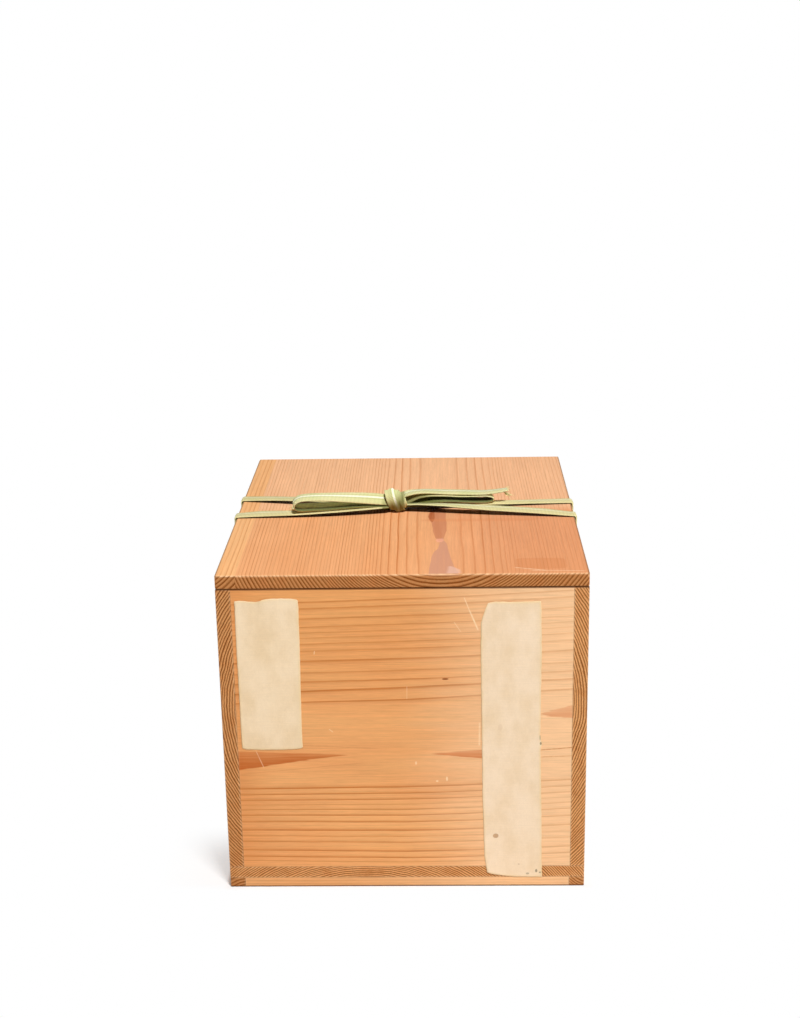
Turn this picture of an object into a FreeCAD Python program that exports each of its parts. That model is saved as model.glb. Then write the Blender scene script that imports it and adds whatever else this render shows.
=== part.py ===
# A deep cedar storage box with a lift-off lid, tied with a flat woven cord in a bow.
# Millimetres. The origin is under the middle of the box, on the surface that it stands on.
# +X is to the right and -Y is the front, which carries the two paper labels.
import FreeCAD, Part
import math
import os

# Outside of the box
BOX_WIDTH = 285.0
BOX_DEPTH = 330.0
WALL_HEIGHT = 237.6
WALL_THICKNESS = 11.5
BOTTOM_THICKNESS = 9.6
ARRIS_RADIUS = 0.9

# Foot frame under the bottom board
FOOT_HEIGHT = 8.6
FOOT_RAIL_WIDTH = 12.2
CORD_NOTCH_WIDTH = 16.0
CORD_NOTCH_HEIGHT = 4.0
CORD_NOTCH_SPACING = 60.0

# Lid and the battens under it
LID_THICKNESS = 10.8
LID_SEAT_GAP = 0.4
LID_STRIP_WIDTH = 16.0
LID_CORNER_RADIUS = 1.8
BATTEN_WIDTH = 12.0
BATTEN_HEIGHT = 9.0
BATTEN_CLEARANCE = 0.8
BATTEN_CHAMFER = 1.5

# Wooden pegs
PEG_DIAMETER = 2.8
PEG_HOLE_CLEARANCE = 0.05
CORNER_PEG_BITE = 18.0
CORNER_PEGS_PER_JOINT = 4
CORNER_PEG_MARGIN = 26.0
BOTTOM_PEG_BITE = 16.0
BOTTOM_PEGS_PER_WALL = 4
BOTTOM_PEG_MARGIN = 34.0
RAIL_PEG_BITE = 6.0
RAIL_PEGS_PER_RAIL = 3
RAIL_PEG_MARGIN = 14.0
BATTEN_PEG_BITE = 6.0
BATTEN_PEGS_PER_BATTEN = 3
BATTEN_PEG_MARGIN = 28.0

# Paper labels on the front
LABEL_THICKNESS = 0.25
LEFT_LABEL_WIDTH = 47.6
LEFT_LABEL_HEIGHT = 124.4
LEFT_LABEL_INSET = 15.1
LEFT_LABEL_RISE = 121.8
RIGHT_LABEL_WIDTH = 47.2
RIGHT_LABEL_HEIGHT = 235.0
RIGHT_LABEL_INSET = 35.2
RIGHT_LABEL_RISE = 9.2

# Flat woven cord
CORD_WIDTH = 12.0
CORD_THICKNESS = 1.4
CORD_CLEARANCE = 0.3
CORD_BEND_RADIUS = 0.8

# Where the four strands cross the edges of the lid, measured back from the middle of the box
LEFT_FRONT_CROSSING = -16.0
LEFT_REAR_CROSSING = 32.0
RIGHT_FRONT_CROSSING = -20.7
RIGHT_REAR_CROSSING = 19.5

# Knot: its size, and its middle from the middle of the lid's top face
KNOT_WIDTH = 16.0
KNOT_DEPTH = 20.0
KNOT_HEIGHT = 18.2
KNOT_ROUNDING = 7.0
KNOT_OFFSET_X = -10.0
KNOT_OFFSET_Y = -3.0

# Where the strands meet the knot: back from its middle, and up from the lid
LEFT_FRONT_KNOT_BACK = -4.2
LEFT_FRONT_KNOT_RISE = 3.2
LEFT_REAR_KNOT_BACK = 8.0
LEFT_REAR_KNOT_RISE = 3.6
RIGHT_FRONT_KNOT_BACK = 0.3
RIGHT_FRONT_KNOT_RISE = 5.2
RIGHT_REAR_KNOT_BACK = 6.0
RIGHT_REAR_KNOT_RISE = 2.8

# Planes that the bow lies in: how far each turns forward on the left and back on the right, how far the
# cord's width leans forward from level, and its middle at the knot, back from the lid's middle and up from it
LEFT_LOOP_YAW = 8.0
LEFT_LOOP_LEAN = 32.0
LEFT_LOOP_BACK = -4.2
LEFT_LOOP_RISE = 7.3
RIGHT_LOOP_YAW = 9.0
RIGHT_LOOP_LEAN = 4.0
RIGHT_LOOP_BACK = -3.0
RIGHT_LOOP_RISE = 5.1
LEFT_END_YAW = -1.0
LEFT_END_BACK = 4.2
LEFT_END_RISE = 0.0

# Routes of the bow in those planes: out from the middle of the knot, and up across the cord
LEFT_LOOP_ROUTE = [
    (9.4, 8.3), (22.0, 9.2), (40.0, 10.2), (58.0, 10.7), (72.0, 10.3), (82.4, 8.8),
    (85.8, 5.2), (82.4, 1.5), (72.0, 0.2), (58.0, 0.0), (44.0, 1.6), (30.0, 4.0), (18.0, 5.5), (9.4, 6.5),
]
RIGHT_LOOP_ROUTE = [
    (9.3, 10.5), (19.0, 11.3), (31.0, 10.5), (43.0, 8.4), (57.0, 6.9), (71.0, 6.3), (81.0, 5.4),
    (85.9, 2.9), (81.0, 0.5), (70.0, 0.7), (57.0, 1.7), (43.0, 2.1), (30.0, 2.9), (18.0, 3.2), (9.3, 3.7),
]
RIGHT_END_ROUTE = [
    (9.3, 12.1), (19.0, 12.9), (31.0, 12.1), (43.0, 10.0), (57.0, 8.5), (71.0, 7.9), (84.0, 7.4),
    (94.0, 7.9), (98.6, 6.2),
]
LEFT_END_ROUTE = [
    (8.0, 1.05), (22.0, 1.0), (38.0, 1.15), (56.0, 1.0), (74.0, 1.1), (90.0, 1.35),
]

# Outlines of the labels, as shares of their width and height from the lower left corner
LEFT_LABEL_SHARES = [
    (0.035, 0.0), (0.50, 0.007), (0.955, 0.028), (1.0, 0.05), (0.992, 0.50), (0.985, 0.965),
    (0.96, 0.992), (0.72, 1.0), (0.565, 0.984), (0.52, 0.972), (0.475, 0.985), (0.05, 0.975),
    (0.004, 0.955), (0.0, 0.50), (0.012, 0.022),
]
RIGHT_LABEL_SHARES = [
    (0.09, 0.016), (0.20, 0.004), (0.55, 0.0), (0.97, 0.004), (0.992, 0.012), (0.985, 0.35),
    (0.975, 0.70), (0.962, 0.985), (0.95, 0.993), (0.55, 0.996), (0.15, 1.0), (0.095, 0.996),
    (0.055, 0.958), (0.012, 0.918), (0.006, 0.90), (0.0, 0.55), (0.03, 0.25), (0.047, 0.035), (0.06, 0.022),
]

# How a cord turns: the steps of a turn over an edge, and an arc's reach as a share of the shorter run
EDGE_TURN_STEPS = 4
ARC_REACH_SHARE = 0.45

# Levels and faces worked out from the sizes above
HALF_WIDTH = BOX_WIDTH / 2
HALF_DEPTH = BOX_DEPTH / 2
WALL_BOTTOM = FOOT_HEIGHT + BOTTOM_THICKNESS
WALL_TOP = WALL_BOTTOM + WALL_HEIGHT
LID_BOTTOM = WALL_TOP + LID_SEAT_GAP
LID_TOP = LID_BOTTOM + LID_THICKNESS
INNER_HALF_WIDTH = HALF_WIDTH - WALL_THICKNESS
INNER_HALF_DEPTH = HALF_DEPTH - WALL_THICKNESS
BATTEN_HALF_WIDTH = INNER_HALF_WIDTH - BATTEN_CLEARANCE
BATTEN_HALF_DEPTH = INNER_HALF_DEPTH - BATTEN_CLEARANCE
BATTEN_BOTTOM = LID_BOTTOM - BATTEN_HEIGHT
STRIP_EDGE = LID_STRIP_WIDTH - HALF_WIDTH
PEG_RADIUS = PEG_DIAMETER / 2
CORD_OUT = HALF_WIDTH + CORD_CLEARANCE + CORD_THICKNESS / 2
LID_SPLIT = LID_BOTTOM + LID_THICKNESS / 2
BOTTOM_SPLIT = FOOT_HEIGHT + BOTTOM_THICKNESS / 2
MATCH = 1e-6

X_AXIS = FreeCAD.Vector(1, 0, 0)
Y_AXIS = FreeCAD.Vector(0, 1, 0)
Z_AXIS = FreeCAD.Vector(0, 0, 1)


def block(x0, x1, y0, y1, z0, z1):
    """A plain board between two corners."""
    return Part.makeBox(x1 - x0, y1 - y0, z1 - z0, FreeCAD.Vector(x0, y0, z0))


def edges_at(shape, **places):
    """The straight edges that lie at the given x, y or z places, two of them for each edge."""
    found = []
    for edge in shape.Edges:
        ends = [vertex.Point for vertex in edge.Vertexes]
        if len(ends) != 2:
            continue
        if all(abs(getattr(end, axis) - place) < MATCH for end in ends for axis, place in places.items()):
            found.append(edge)
    return found


def eased(shape, radius, *corners):
    """The board with the arrises at the given corners rounded."""
    edges = [edge for corner in corners for edge in edges_at(shape, **corner)]
    return shape.makeFillet(radius, edges)


def spaced(count, low, high):
    """Evenly spaced places from low to high."""
    return [low + (high - low) * index / (count - 1) for index in range(count)]


def peg(start, direction, length, clearance=0.0):
    """One round wooden peg, or its hole when a clearance is given."""
    return Part.makeCylinder(PEG_RADIUS + clearance, length, start, direction)


class PegRow:
    """Pegs of one length that are driven the same way from a face."""

    def __init__(self, starts, direction, length):
        self.starts = starts
        self.direction = direction
        self.length = length

    def solids(self):
        """The pegs themselves."""
        return [peg(start, self.direction, self.length) for start in self.starts]

    def holes(self):
        """The holes that they fill."""
        return [peg(start, self.direction, self.length, PEG_HOLE_CLEARANCE) for start in self.starts]


def drilled(board, *rows):
    """The board with the holes of the given rows of pegs."""
    holes = [hole for row in rows for hole in row.holes()]
    near = [hole for hole in holes if hole.BoundBox.intersect(board.BoundBox)]
    return board.cut(near) if near else board


def corner_pegs(side):
    """Pegs through one side board into the ends of the front and back boards; side is -1 or 1."""
    heights = spaced(CORNER_PEGS_PER_JOINT, WALL_BOTTOM + CORNER_PEG_MARGIN, WALL_TOP - CORNER_PEG_MARGIN)
    middle = HALF_DEPTH - WALL_THICKNESS / 2
    starts = [FreeCAD.Vector(side * HALF_WIDTH, y, z) for y in (-middle, middle) for z in heights]
    return PegRow(starts, X_AXIS * -side, WALL_THICKNESS + CORNER_PEG_BITE)


def bottom_pegs():
    """Pegs through the bottom board up into the four walls."""
    middle_x = HALF_WIDTH - WALL_THICKNESS / 2
    middle_y = HALF_DEPTH - WALL_THICKNESS / 2
    reach_x = HALF_WIDTH - BOTTOM_PEG_MARGIN
    reach_y = HALF_DEPTH - BOTTOM_PEG_MARGIN
    across = spaced(BOTTOM_PEGS_PER_WALL, -reach_x, reach_x)
    along = spaced(BOTTOM_PEGS_PER_WALL, -reach_y, reach_y)
    starts = [FreeCAD.Vector(x, y, FOOT_HEIGHT) for y in (-middle_y, middle_y) for x in across]
    starts += [FreeCAD.Vector(x, y, FOOT_HEIGHT) for x in (-middle_x, middle_x) for y in along]
    return PegRow(starts, Z_AXIS, BOTTOM_THICKNESS + BOTTOM_PEG_BITE)


def rail_pegs():
    """Pegs up through the foot rails into the bottom board."""
    middle_x = HALF_WIDTH - FOOT_RAIL_WIDTH / 2
    middle_y = HALF_DEPTH - FOOT_RAIL_WIDTH / 2
    reach_x = HALF_WIDTH - FOOT_RAIL_WIDTH - RAIL_PEG_MARGIN
    reach_y = HALF_DEPTH - RAIL_PEG_MARGIN
    across = spaced(RAIL_PEGS_PER_RAIL, -reach_x, reach_x)
    along = spaced(RAIL_PEGS_PER_RAIL, -reach_y, reach_y)
    starts = [FreeCAD.Vector(x, y, 0) for y in (-middle_y, middle_y) for x in across]
    starts += [FreeCAD.Vector(x, y, 0) for x in (-middle_x, middle_x) for y in along]
    return PegRow(starts, Z_AXIS, FOOT_HEIGHT + RAIL_PEG_BITE)


def batten_pegs():
    """Pegs up through the battens into the lid."""
    middle_x = BATTEN_HALF_WIDTH - BATTEN_WIDTH / 2
    middle_y = BATTEN_HALF_DEPTH - BATTEN_WIDTH / 2
    reach_x = BATTEN_HALF_WIDTH - BATTEN_PEG_MARGIN
    reach_y = BATTEN_HALF_DEPTH - BATTEN_PEG_MARGIN
    across = spaced(BATTEN_PEGS_PER_BATTEN, -reach_x, reach_x)
    along = spaced(BATTEN_PEGS_PER_BATTEN, -reach_y, reach_y)
    starts = [FreeCAD.Vector(x, y, BATTEN_BOTTOM) for y in (-middle_y, middle_y) for x in across]
    starts += [FreeCAD.Vector(x, y, BATTEN_BOTTOM) for x in (-middle_x, middle_x) for y in along]
    return PegRow(starts, Z_AXIS, BATTEN_HEIGHT + BATTEN_PEG_BITE)


def side_board(side, pegs, floor_pegs):
    """A full-depth side wall, whose end grain shows at the front and the back."""
    x0, x1 = sorted((side * HALF_WIDTH, side * INNER_HALF_WIDTH))
    board = block(x0, x1, -HALF_DEPTH, HALF_DEPTH, WALL_BOTTOM, WALL_TOP)
    board = eased(
        board, ARRIS_RADIUS,
        {"x": side * HALF_WIDTH, "y": -HALF_DEPTH}, {"x": side * HALF_WIDTH, "y": HALF_DEPTH},
        {"x": side * HALF_WIDTH, "z": WALL_TOP},
        {"y": -HALF_DEPTH, "z": WALL_TOP}, {"y": HALF_DEPTH, "z": WALL_TOP},
    )
    return drilled(board, pegs, floor_pegs)


def end_board(end, *rows):
    """The front or back wall, set between the side boards; end is -1 for the front."""
    y0, y1 = sorted((end * HALF_DEPTH, end * INNER_HALF_DEPTH))
    board = block(-INNER_HALF_WIDTH, INNER_HALF_WIDTH, y0, y1, WALL_BOTTOM, WALL_TOP)
    board = eased(board, ARRIS_RADIUS, {"y": end * HALF_DEPTH, "z": WALL_TOP})
    return drilled(board, *rows)


def bottom_board(*rows):
    """The floor, under all four walls, so that its end grain shows at the front and the back."""
    board = block(-HALF_WIDTH, HALF_WIDTH, -HALF_DEPTH, HALF_DEPTH, FOOT_HEIGHT, WALL_BOTTOM)
    corners = [{"x": x, "y": y} for x in (-HALF_WIDTH, HALF_WIDTH) for y in (-HALF_DEPTH, HALF_DEPTH)]
    return drilled(eased(board, ARRIS_RADIUS, *corners), *rows)


def side_foot_rail(side, pegs):
    """A full-depth foot rail with two notches at its top, which let the cord through."""
    outer = side * HALF_WIDTH
    x0, x1 = sorted((outer, side * (HALF_WIDTH - FOOT_RAIL_WIDTH)))
    rail = block(x0, x1, -HALF_DEPTH, HALF_DEPTH, 0, FOOT_HEIGHT)
    rail = eased(
        rail, ARRIS_RADIUS,
        {"x": outer, "y": -HALF_DEPTH}, {"x": outer, "y": HALF_DEPTH}, {"x": outer, "z": 0},
        {"y": -HALF_DEPTH, "z": 0}, {"y": HALF_DEPTH, "z": 0},
    )
    for y in (-CORD_NOTCH_SPACING / 2, CORD_NOTCH_SPACING / 2):
        notch = block(
            x0, x1, y - CORD_NOTCH_WIDTH / 2, y + CORD_NOTCH_WIDTH / 2,
            FOOT_HEIGHT - CORD_NOTCH_HEIGHT, FOOT_HEIGHT,
        )
        rail = rail.cut(notch)
    return drilled(rail, pegs)


def end_foot_rail(end, pegs):
    """The front or back foot rail, set between the side rails."""
    y0, y1 = sorted((end * HALF_DEPTH, end * (HALF_DEPTH - FOOT_RAIL_WIDTH)))
    half = HALF_WIDTH - FOOT_RAIL_WIDTH
    rail = block(-half, half, y0, y1, 0, FOOT_HEIGHT)
    return drilled(eased(rail, ARRIS_RADIUS, {"y": end * HALF_DEPTH, "z": 0}), pegs)


def lid_board(x0, x1, outer, pegs):
    """One board of the lid; outer is the x of its outside edge."""
    board = block(x0, x1, -HALF_DEPTH, HALF_DEPTH, LID_BOTTOM, LID_TOP)
    board = eased(board, LID_CORNER_RADIUS, {"x": outer, "y": -HALF_DEPTH}, {"x": outer, "y": HALF_DEPTH})
    rims = [face for face in board.Faces if abs(abs(face.normalAt(0, 0).z) - 1) < MATCH]
    seam = x1 if outer < x1 else x0
    edges = []
    for face in rims:
        for edge in face.Edges:
            if not all(abs(vertex.Point.x - seam) < MATCH for vertex in edge.Vertexes):
                edges.append(edge)
    return drilled(board.makeFillet(ARRIS_RADIUS, edges), pegs)


def end_batten(end, pegs):
    """The front or back batten under the lid, across the whole mouth."""
    outer = end * BATTEN_HALF_DEPTH
    y0, y1 = sorted((outer, end * (BATTEN_HALF_DEPTH - BATTEN_WIDTH)))
    batten = block(-BATTEN_HALF_WIDTH, BATTEN_HALF_WIDTH, y0, y1, BATTEN_BOTTOM, LID_BOTTOM)
    batten = batten.makeChamfer(BATTEN_CHAMFER, edges_at(batten, y=outer, z=BATTEN_BOTTOM))
    return drilled(batten, pegs)


def side_batten(side, pegs):
    """The left or right batten under the lid, between the other two."""
    outer = side * BATTEN_HALF_WIDTH
    x0, x1 = sorted((outer, side * (BATTEN_HALF_WIDTH - BATTEN_WIDTH)))
    half = BATTEN_HALF_DEPTH - BATTEN_WIDTH
    batten = block(x0, x1, -half, half, BATTEN_BOTTOM, LID_BOTTOM)
    batten = batten.makeChamfer(BATTEN_CHAMFER, edges_at(batten, x=outer, z=BATTEN_BOTTOM))
    return drilled(batten, pegs)


def label(left, low, width, height, shares):
    """A paper label pasted on the front face, from its outline in shares of its size."""
    points = [FreeCAD.Vector(left + width * u, -HALF_DEPTH, low + height * v) for u, v in shares]
    face = Part.Face(Part.makePolygon(points + points[:1]))
    return face.extrude(Y_AXIS * -LABEL_THICKNESS)


def section(centre, across, out):
    """A closed rectangle of the cord's section: across is its width's direction, out its thickness's."""
    half_width = across * (CORD_WIDTH / 2)
    half_depth = out * (CORD_THICKNESS / 2)
    corners = [
        centre - half_width - half_depth, centre + half_width - half_depth,
        centre + half_width + half_depth, centre - half_width + half_depth,
    ]
    return Part.makePolygon(corners + corners[:1])


def band(stations):
    """A flat run of cord through the given stations, each a centre, a width and a thickness direction."""
    return Part.makeLoft([section(*station) for station in stations], True, True)


def edge_turn(side, y, level, rise):
    """The stations of a cord that turns over an outside edge: rise is 1 over the lid, -1 under the bottom."""
    bend = CORD_BEND_RADIUS + CORD_THICKNESS / 2
    centre_x = side * (HALF_WIDTH + CORD_CLEARANCE - CORD_BEND_RADIUS)
    centre_z = level + rise * (CORD_CLEARANCE - CORD_BEND_RADIUS)
    stations = []
    for step in range(EDGE_TURN_STEPS + 1):
        turn = math.pi / 2 * (1 - step / EDGE_TURN_STEPS)
        out = FreeCAD.Vector(side * math.cos(turn), 0, rise * math.sin(turn))
        stations.append((FreeCAD.Vector(centre_x, y, centre_z) + out * bend, Y_AXIS, out))
    return stations


def lid_run(side, crossing, knot_back, knot_rise):
    """A strand on the lid, from the knot to the lid's edge and over it to half the lid's thickness."""
    knot_x = KNOT_OFFSET_X + side * KNOT_WIDTH / 2
    start = FreeCAD.Vector(knot_x, KNOT_OFFSET_Y + knot_back, LID_TOP + knot_rise)
    upright = FreeCAD.Vector(side * CORD_OUT, crossing, LID_SPLIT)
    stations = [(start, Y_AXIS, Z_AXIS)] + edge_turn(side, crossing, LID_TOP, 1)
    return band(stations + [(upright, Y_AXIS, X_AXIS * side)])


def side_run(side, crossing, notch):
    """A strand down the outside of the box, from the lid's edge to the level of the bottom board."""
    stations = [
        (FreeCAD.Vector(side * CORD_OUT, crossing, LID_SPLIT), Y_AXIS, X_AXIS * side),
        (FreeCAD.Vector(side * CORD_OUT, notch, BOTTOM_SPLIT), Y_AXIS, X_AXIS * side),
    ]
    return band(stations)


def under_run(notch):
    """A strand under the bottom board, through the notches of both side foot rails."""
    stations = []
    for side in (-1, 1):
        upright = (FreeCAD.Vector(side * CORD_OUT, notch, BOTTOM_SPLIT), Y_AXIS, X_AXIS * side)
        turn = [upright] + edge_turn(side, notch, FOOT_HEIGHT, -1)[::-1]
        stations += turn if side < 0 else turn[::-1]
    return band(stations)


def rounded_path(points):
    """A wire of straight runs joined by tangent arcs, each as large as its two runs allow."""
    pieces = []
    radii = []
    last = points[0]
    for before, corner, after in zip(points, points[1:], points[2:]):
        back = before - corner
        ahead = after - corner
        reach = ARC_REACH_SHARE * min(back.Length, ahead.Length)
        half_turn = (math.pi - back.getAngle(ahead)) / 2
        radii.append(reach / math.tan(half_turn))
        start = corner + back.normalize() * reach
        end = corner + ahead.normalize() * reach
        inward = (back + ahead).normalize()
        middle = corner + inward * (radii[-1] / math.cos(half_turn) - radii[-1])
        pieces.append(Part.LineSegment(last, start).toShape())
        pieces.append(Part.Arc(start, middle, end).toShape())
        last = end
    pieces.append(Part.LineSegment(last, points[-1]).toShape())
    return Part.Wire(pieces), radii


def bow_piece(name, route, side, yaw, lean, back, rise):
    """A loop or an end of the bow: a flat cord along a route that lies in one plane."""
    turn = math.radians(yaw)
    tip = math.radians(lean)
    out = FreeCAD.Vector(side * math.cos(turn), side * math.sin(turn), 0)
    behind = FreeCAD.Vector(-math.sin(turn), math.cos(turn), 0)
    across = behind * math.cos(tip) + Z_AXIS * math.sin(tip)
    up = Z_AXIS * math.cos(tip) - behind * math.sin(tip)
    origin = FreeCAD.Vector(KNOT_OFFSET_X, back, LID_TOP + rise)
    points = [origin + out * along + up * height for along, height in route]
    path, radii = rounded_path(points)
    ahead = (points[1] - points[0]).normalize()
    profile = section(points[0], across, across.cross(ahead))
    solid = path.makePipeShell([profile], True, False)
    share = solid.Volume / (CORD_WIDTH * CORD_THICKNESS * path.Length)
    print(f"{name}: length {path.Length:.1f}, least radius {min(radii):.2f}, volume share {share:.3f}")
    return solid


def edges_along_x(shape):
    """The edges that run along X."""
    return [edge for edge in shape.Edges if abs(abs(edge.tangentAt(edge.FirstParameter).x) - 1) < MATCH]


def knot():
    """The knot: a rounded block about which the strands, the loops and the ends come together."""
    corner = FreeCAD.Vector(
        KNOT_OFFSET_X - KNOT_WIDTH / 2, KNOT_OFFSET_Y - KNOT_DEPTH / 2, LID_TOP + CORD_CLEARANCE)
    core = Part.makeBox(KNOT_WIDTH, KNOT_DEPTH, KNOT_HEIGHT, corner)
    return core.makeFillet(KNOT_ROUNDING, edges_along_x(core))


def build():
    """Every node of the box, as a name and its shape."""
    left_pegs = corner_pegs(-1)
    right_pegs = corner_pegs(1)
    floor_pegs = bottom_pegs()
    foot_pegs = rail_pegs()
    lid_pegs = batten_pegs()
    notch = CORD_NOTCH_SPACING / 2
    nodes = {
        "front_board": end_board(-1, left_pegs, right_pegs, floor_pegs),
        "back_board": end_board(1, left_pegs, right_pegs, floor_pegs),
        "left_side_board": side_board(-1, left_pegs, floor_pegs),
        "right_side_board": side_board(1, right_pegs, floor_pegs),
        "bottom_board": bottom_board(floor_pegs, foot_pegs),
        "front_foot_rail": end_foot_rail(-1, foot_pegs),
        "back_foot_rail": end_foot_rail(1, foot_pegs),
        "left_foot_rail": side_foot_rail(-1, foot_pegs),
        "right_foot_rail": side_foot_rail(1, foot_pegs),
        "left_corner_pegs": Part.makeCompound(left_pegs.solids()),
        "right_corner_pegs": Part.makeCompound(right_pegs.solids()),
        "bottom_board_pegs": Part.makeCompound(floor_pegs.solids()),
        "foot_rail_pegs": Part.makeCompound(foot_pegs.solids()),
        "left_paper_label": label(
            LEFT_LABEL_INSET - HALF_WIDTH, LEFT_LABEL_RISE, LEFT_LABEL_WIDTH, LEFT_LABEL_HEIGHT,
            LEFT_LABEL_SHARES,
        ),
        "right_paper_label": label(
            HALF_WIDTH - RIGHT_LABEL_INSET - RIGHT_LABEL_WIDTH, RIGHT_LABEL_RISE, RIGHT_LABEL_WIDTH,
            RIGHT_LABEL_HEIGHT, RIGHT_LABEL_SHARES,
        ),
        "lid_main_board": lid_board(STRIP_EDGE, HALF_WIDTH, HALF_WIDTH, lid_pegs),
        "lid_edge_strip": lid_board(-HALF_WIDTH, STRIP_EDGE, -HALF_WIDTH, lid_pegs),
        "lid_front_batten": end_batten(-1, lid_pegs),
        "lid_back_batten": end_batten(1, lid_pegs),
        "lid_left_batten": side_batten(-1, lid_pegs),
        "lid_right_batten": side_batten(1, lid_pegs),
        "lid_batten_pegs": Part.makeCompound(lid_pegs.solids()),
        "cord_knot": knot(),
        "left_bow_loop": bow_piece(
            "left_bow_loop", LEFT_LOOP_ROUTE, -1, LEFT_LOOP_YAW, LEFT_LOOP_LEAN,
            LEFT_LOOP_BACK, LEFT_LOOP_RISE),
        "right_bow_loop": bow_piece(
            "right_bow_loop", RIGHT_LOOP_ROUTE, 1, RIGHT_LOOP_YAW, RIGHT_LOOP_LEAN,
            RIGHT_LOOP_BACK, RIGHT_LOOP_RISE),
        "right_cord_end": bow_piece(
            "right_cord_end", RIGHT_END_ROUTE, 1, RIGHT_LOOP_YAW, RIGHT_LOOP_LEAN,
            RIGHT_LOOP_BACK, RIGHT_LOOP_RISE),
        "left_cord_end": bow_piece(
            "left_cord_end", LEFT_END_ROUTE, -1, LEFT_END_YAW, 0, LEFT_END_BACK, LEFT_END_RISE),
        "front_under_run": under_run(-notch),
        "rear_under_run": under_run(notch),
    }
    strands = {
        "left_front": (-1, LEFT_FRONT_CROSSING, -notch, LEFT_FRONT_KNOT_BACK, LEFT_FRONT_KNOT_RISE),
        "left_rear": (-1, LEFT_REAR_CROSSING, notch, LEFT_REAR_KNOT_BACK, LEFT_REAR_KNOT_RISE),
        "right_front": (1, RIGHT_FRONT_CROSSING, -notch, RIGHT_FRONT_KNOT_BACK, RIGHT_FRONT_KNOT_RISE),
        "right_rear": (1, RIGHT_REAR_CROSSING, notch, RIGHT_REAR_KNOT_BACK, RIGHT_REAR_KNOT_RISE),
    }
    for name, (side, crossing, hole, knot_back, knot_rise) in strands.items():
        nodes[name + "_lid_run"] = lid_run(side, crossing, knot_back, knot_rise)
        nodes[name + "_side_run"] = side_run(side, crossing, hole)
    return nodes


os.makedirs("parts", exist_ok=True)
for node_name, node_shape in build().items():
    node_shape.exportStep(f"parts/{node_name}.step")
    print(node_name, len(node_shape.Solids), node_shape.isValid(), round(node_shape.Volume))
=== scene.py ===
"""A deep cedar storage box with a lift-off lid, tied round with a flat woven cord in a bow.

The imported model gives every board, batten, rail and peg. This script dresses them as planed cedar whose
growth rings run right through each board, pastes the paper labels on the front, weaves the cord along its
route, ties the knot and the bow on the lid, and stands the box in a pale studio. Lengths are in metres.
"""

from __future__ import annotations

import logging
import math
from collections.abc import Mapping, Sequence
from dataclasses import dataclass, field
from enum import Enum

import bpy
import numpy as np
from mathutils import Matrix, Vector


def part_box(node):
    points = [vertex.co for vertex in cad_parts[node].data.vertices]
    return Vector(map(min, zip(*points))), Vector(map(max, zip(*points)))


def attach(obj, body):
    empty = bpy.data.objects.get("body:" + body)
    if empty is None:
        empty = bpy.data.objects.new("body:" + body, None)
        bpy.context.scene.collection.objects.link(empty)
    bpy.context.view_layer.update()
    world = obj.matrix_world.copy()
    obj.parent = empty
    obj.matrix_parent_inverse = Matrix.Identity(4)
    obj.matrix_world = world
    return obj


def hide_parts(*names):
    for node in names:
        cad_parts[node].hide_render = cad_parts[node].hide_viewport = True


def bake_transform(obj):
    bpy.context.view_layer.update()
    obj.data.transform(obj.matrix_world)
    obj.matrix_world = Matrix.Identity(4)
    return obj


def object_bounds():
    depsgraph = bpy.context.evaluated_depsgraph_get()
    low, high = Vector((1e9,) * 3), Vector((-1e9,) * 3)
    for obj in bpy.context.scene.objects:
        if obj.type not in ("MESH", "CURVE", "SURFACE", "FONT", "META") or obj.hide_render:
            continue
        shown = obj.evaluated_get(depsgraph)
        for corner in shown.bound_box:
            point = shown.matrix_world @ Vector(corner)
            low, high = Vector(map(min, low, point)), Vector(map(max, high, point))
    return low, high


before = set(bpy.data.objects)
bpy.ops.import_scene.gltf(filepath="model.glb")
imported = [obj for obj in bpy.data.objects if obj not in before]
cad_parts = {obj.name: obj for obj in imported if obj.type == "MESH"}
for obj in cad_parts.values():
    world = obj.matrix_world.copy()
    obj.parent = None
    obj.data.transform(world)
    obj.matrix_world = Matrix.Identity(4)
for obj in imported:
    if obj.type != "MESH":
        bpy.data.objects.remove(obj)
CAD_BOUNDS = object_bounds()

log = logging.getLogger("cedar_box")

MM = 0.001
IMAGE_HEIGHT = 1018

Colour = tuple[float, float, float, float]
Place3 = tuple[float, float, float]

UPWARD: Place3 = (0.0, 0.0, 1.0)
FIBRE_ROUGHNESS = 0.65


def srgb(red: int, green: int, blue: int) -> Colour:
    """The linear colour of a display colour.

    Args:
        red: 0 to 255.
        green: 0 to 255.
        blue: 0 to 255.

    Returns:
        Linear red, green and blue, and an alpha of 1.
    """
    shares = [channel / 255 for channel in (red, green, blue)]
    linear = [c / 12.92 if c <= 0.04045 else ((c + 0.055) / 1.055) ** 2.4 for c in shares]
    return (linear[0], linear[1], linear[2], 1.0)


# Shader maths


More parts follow.
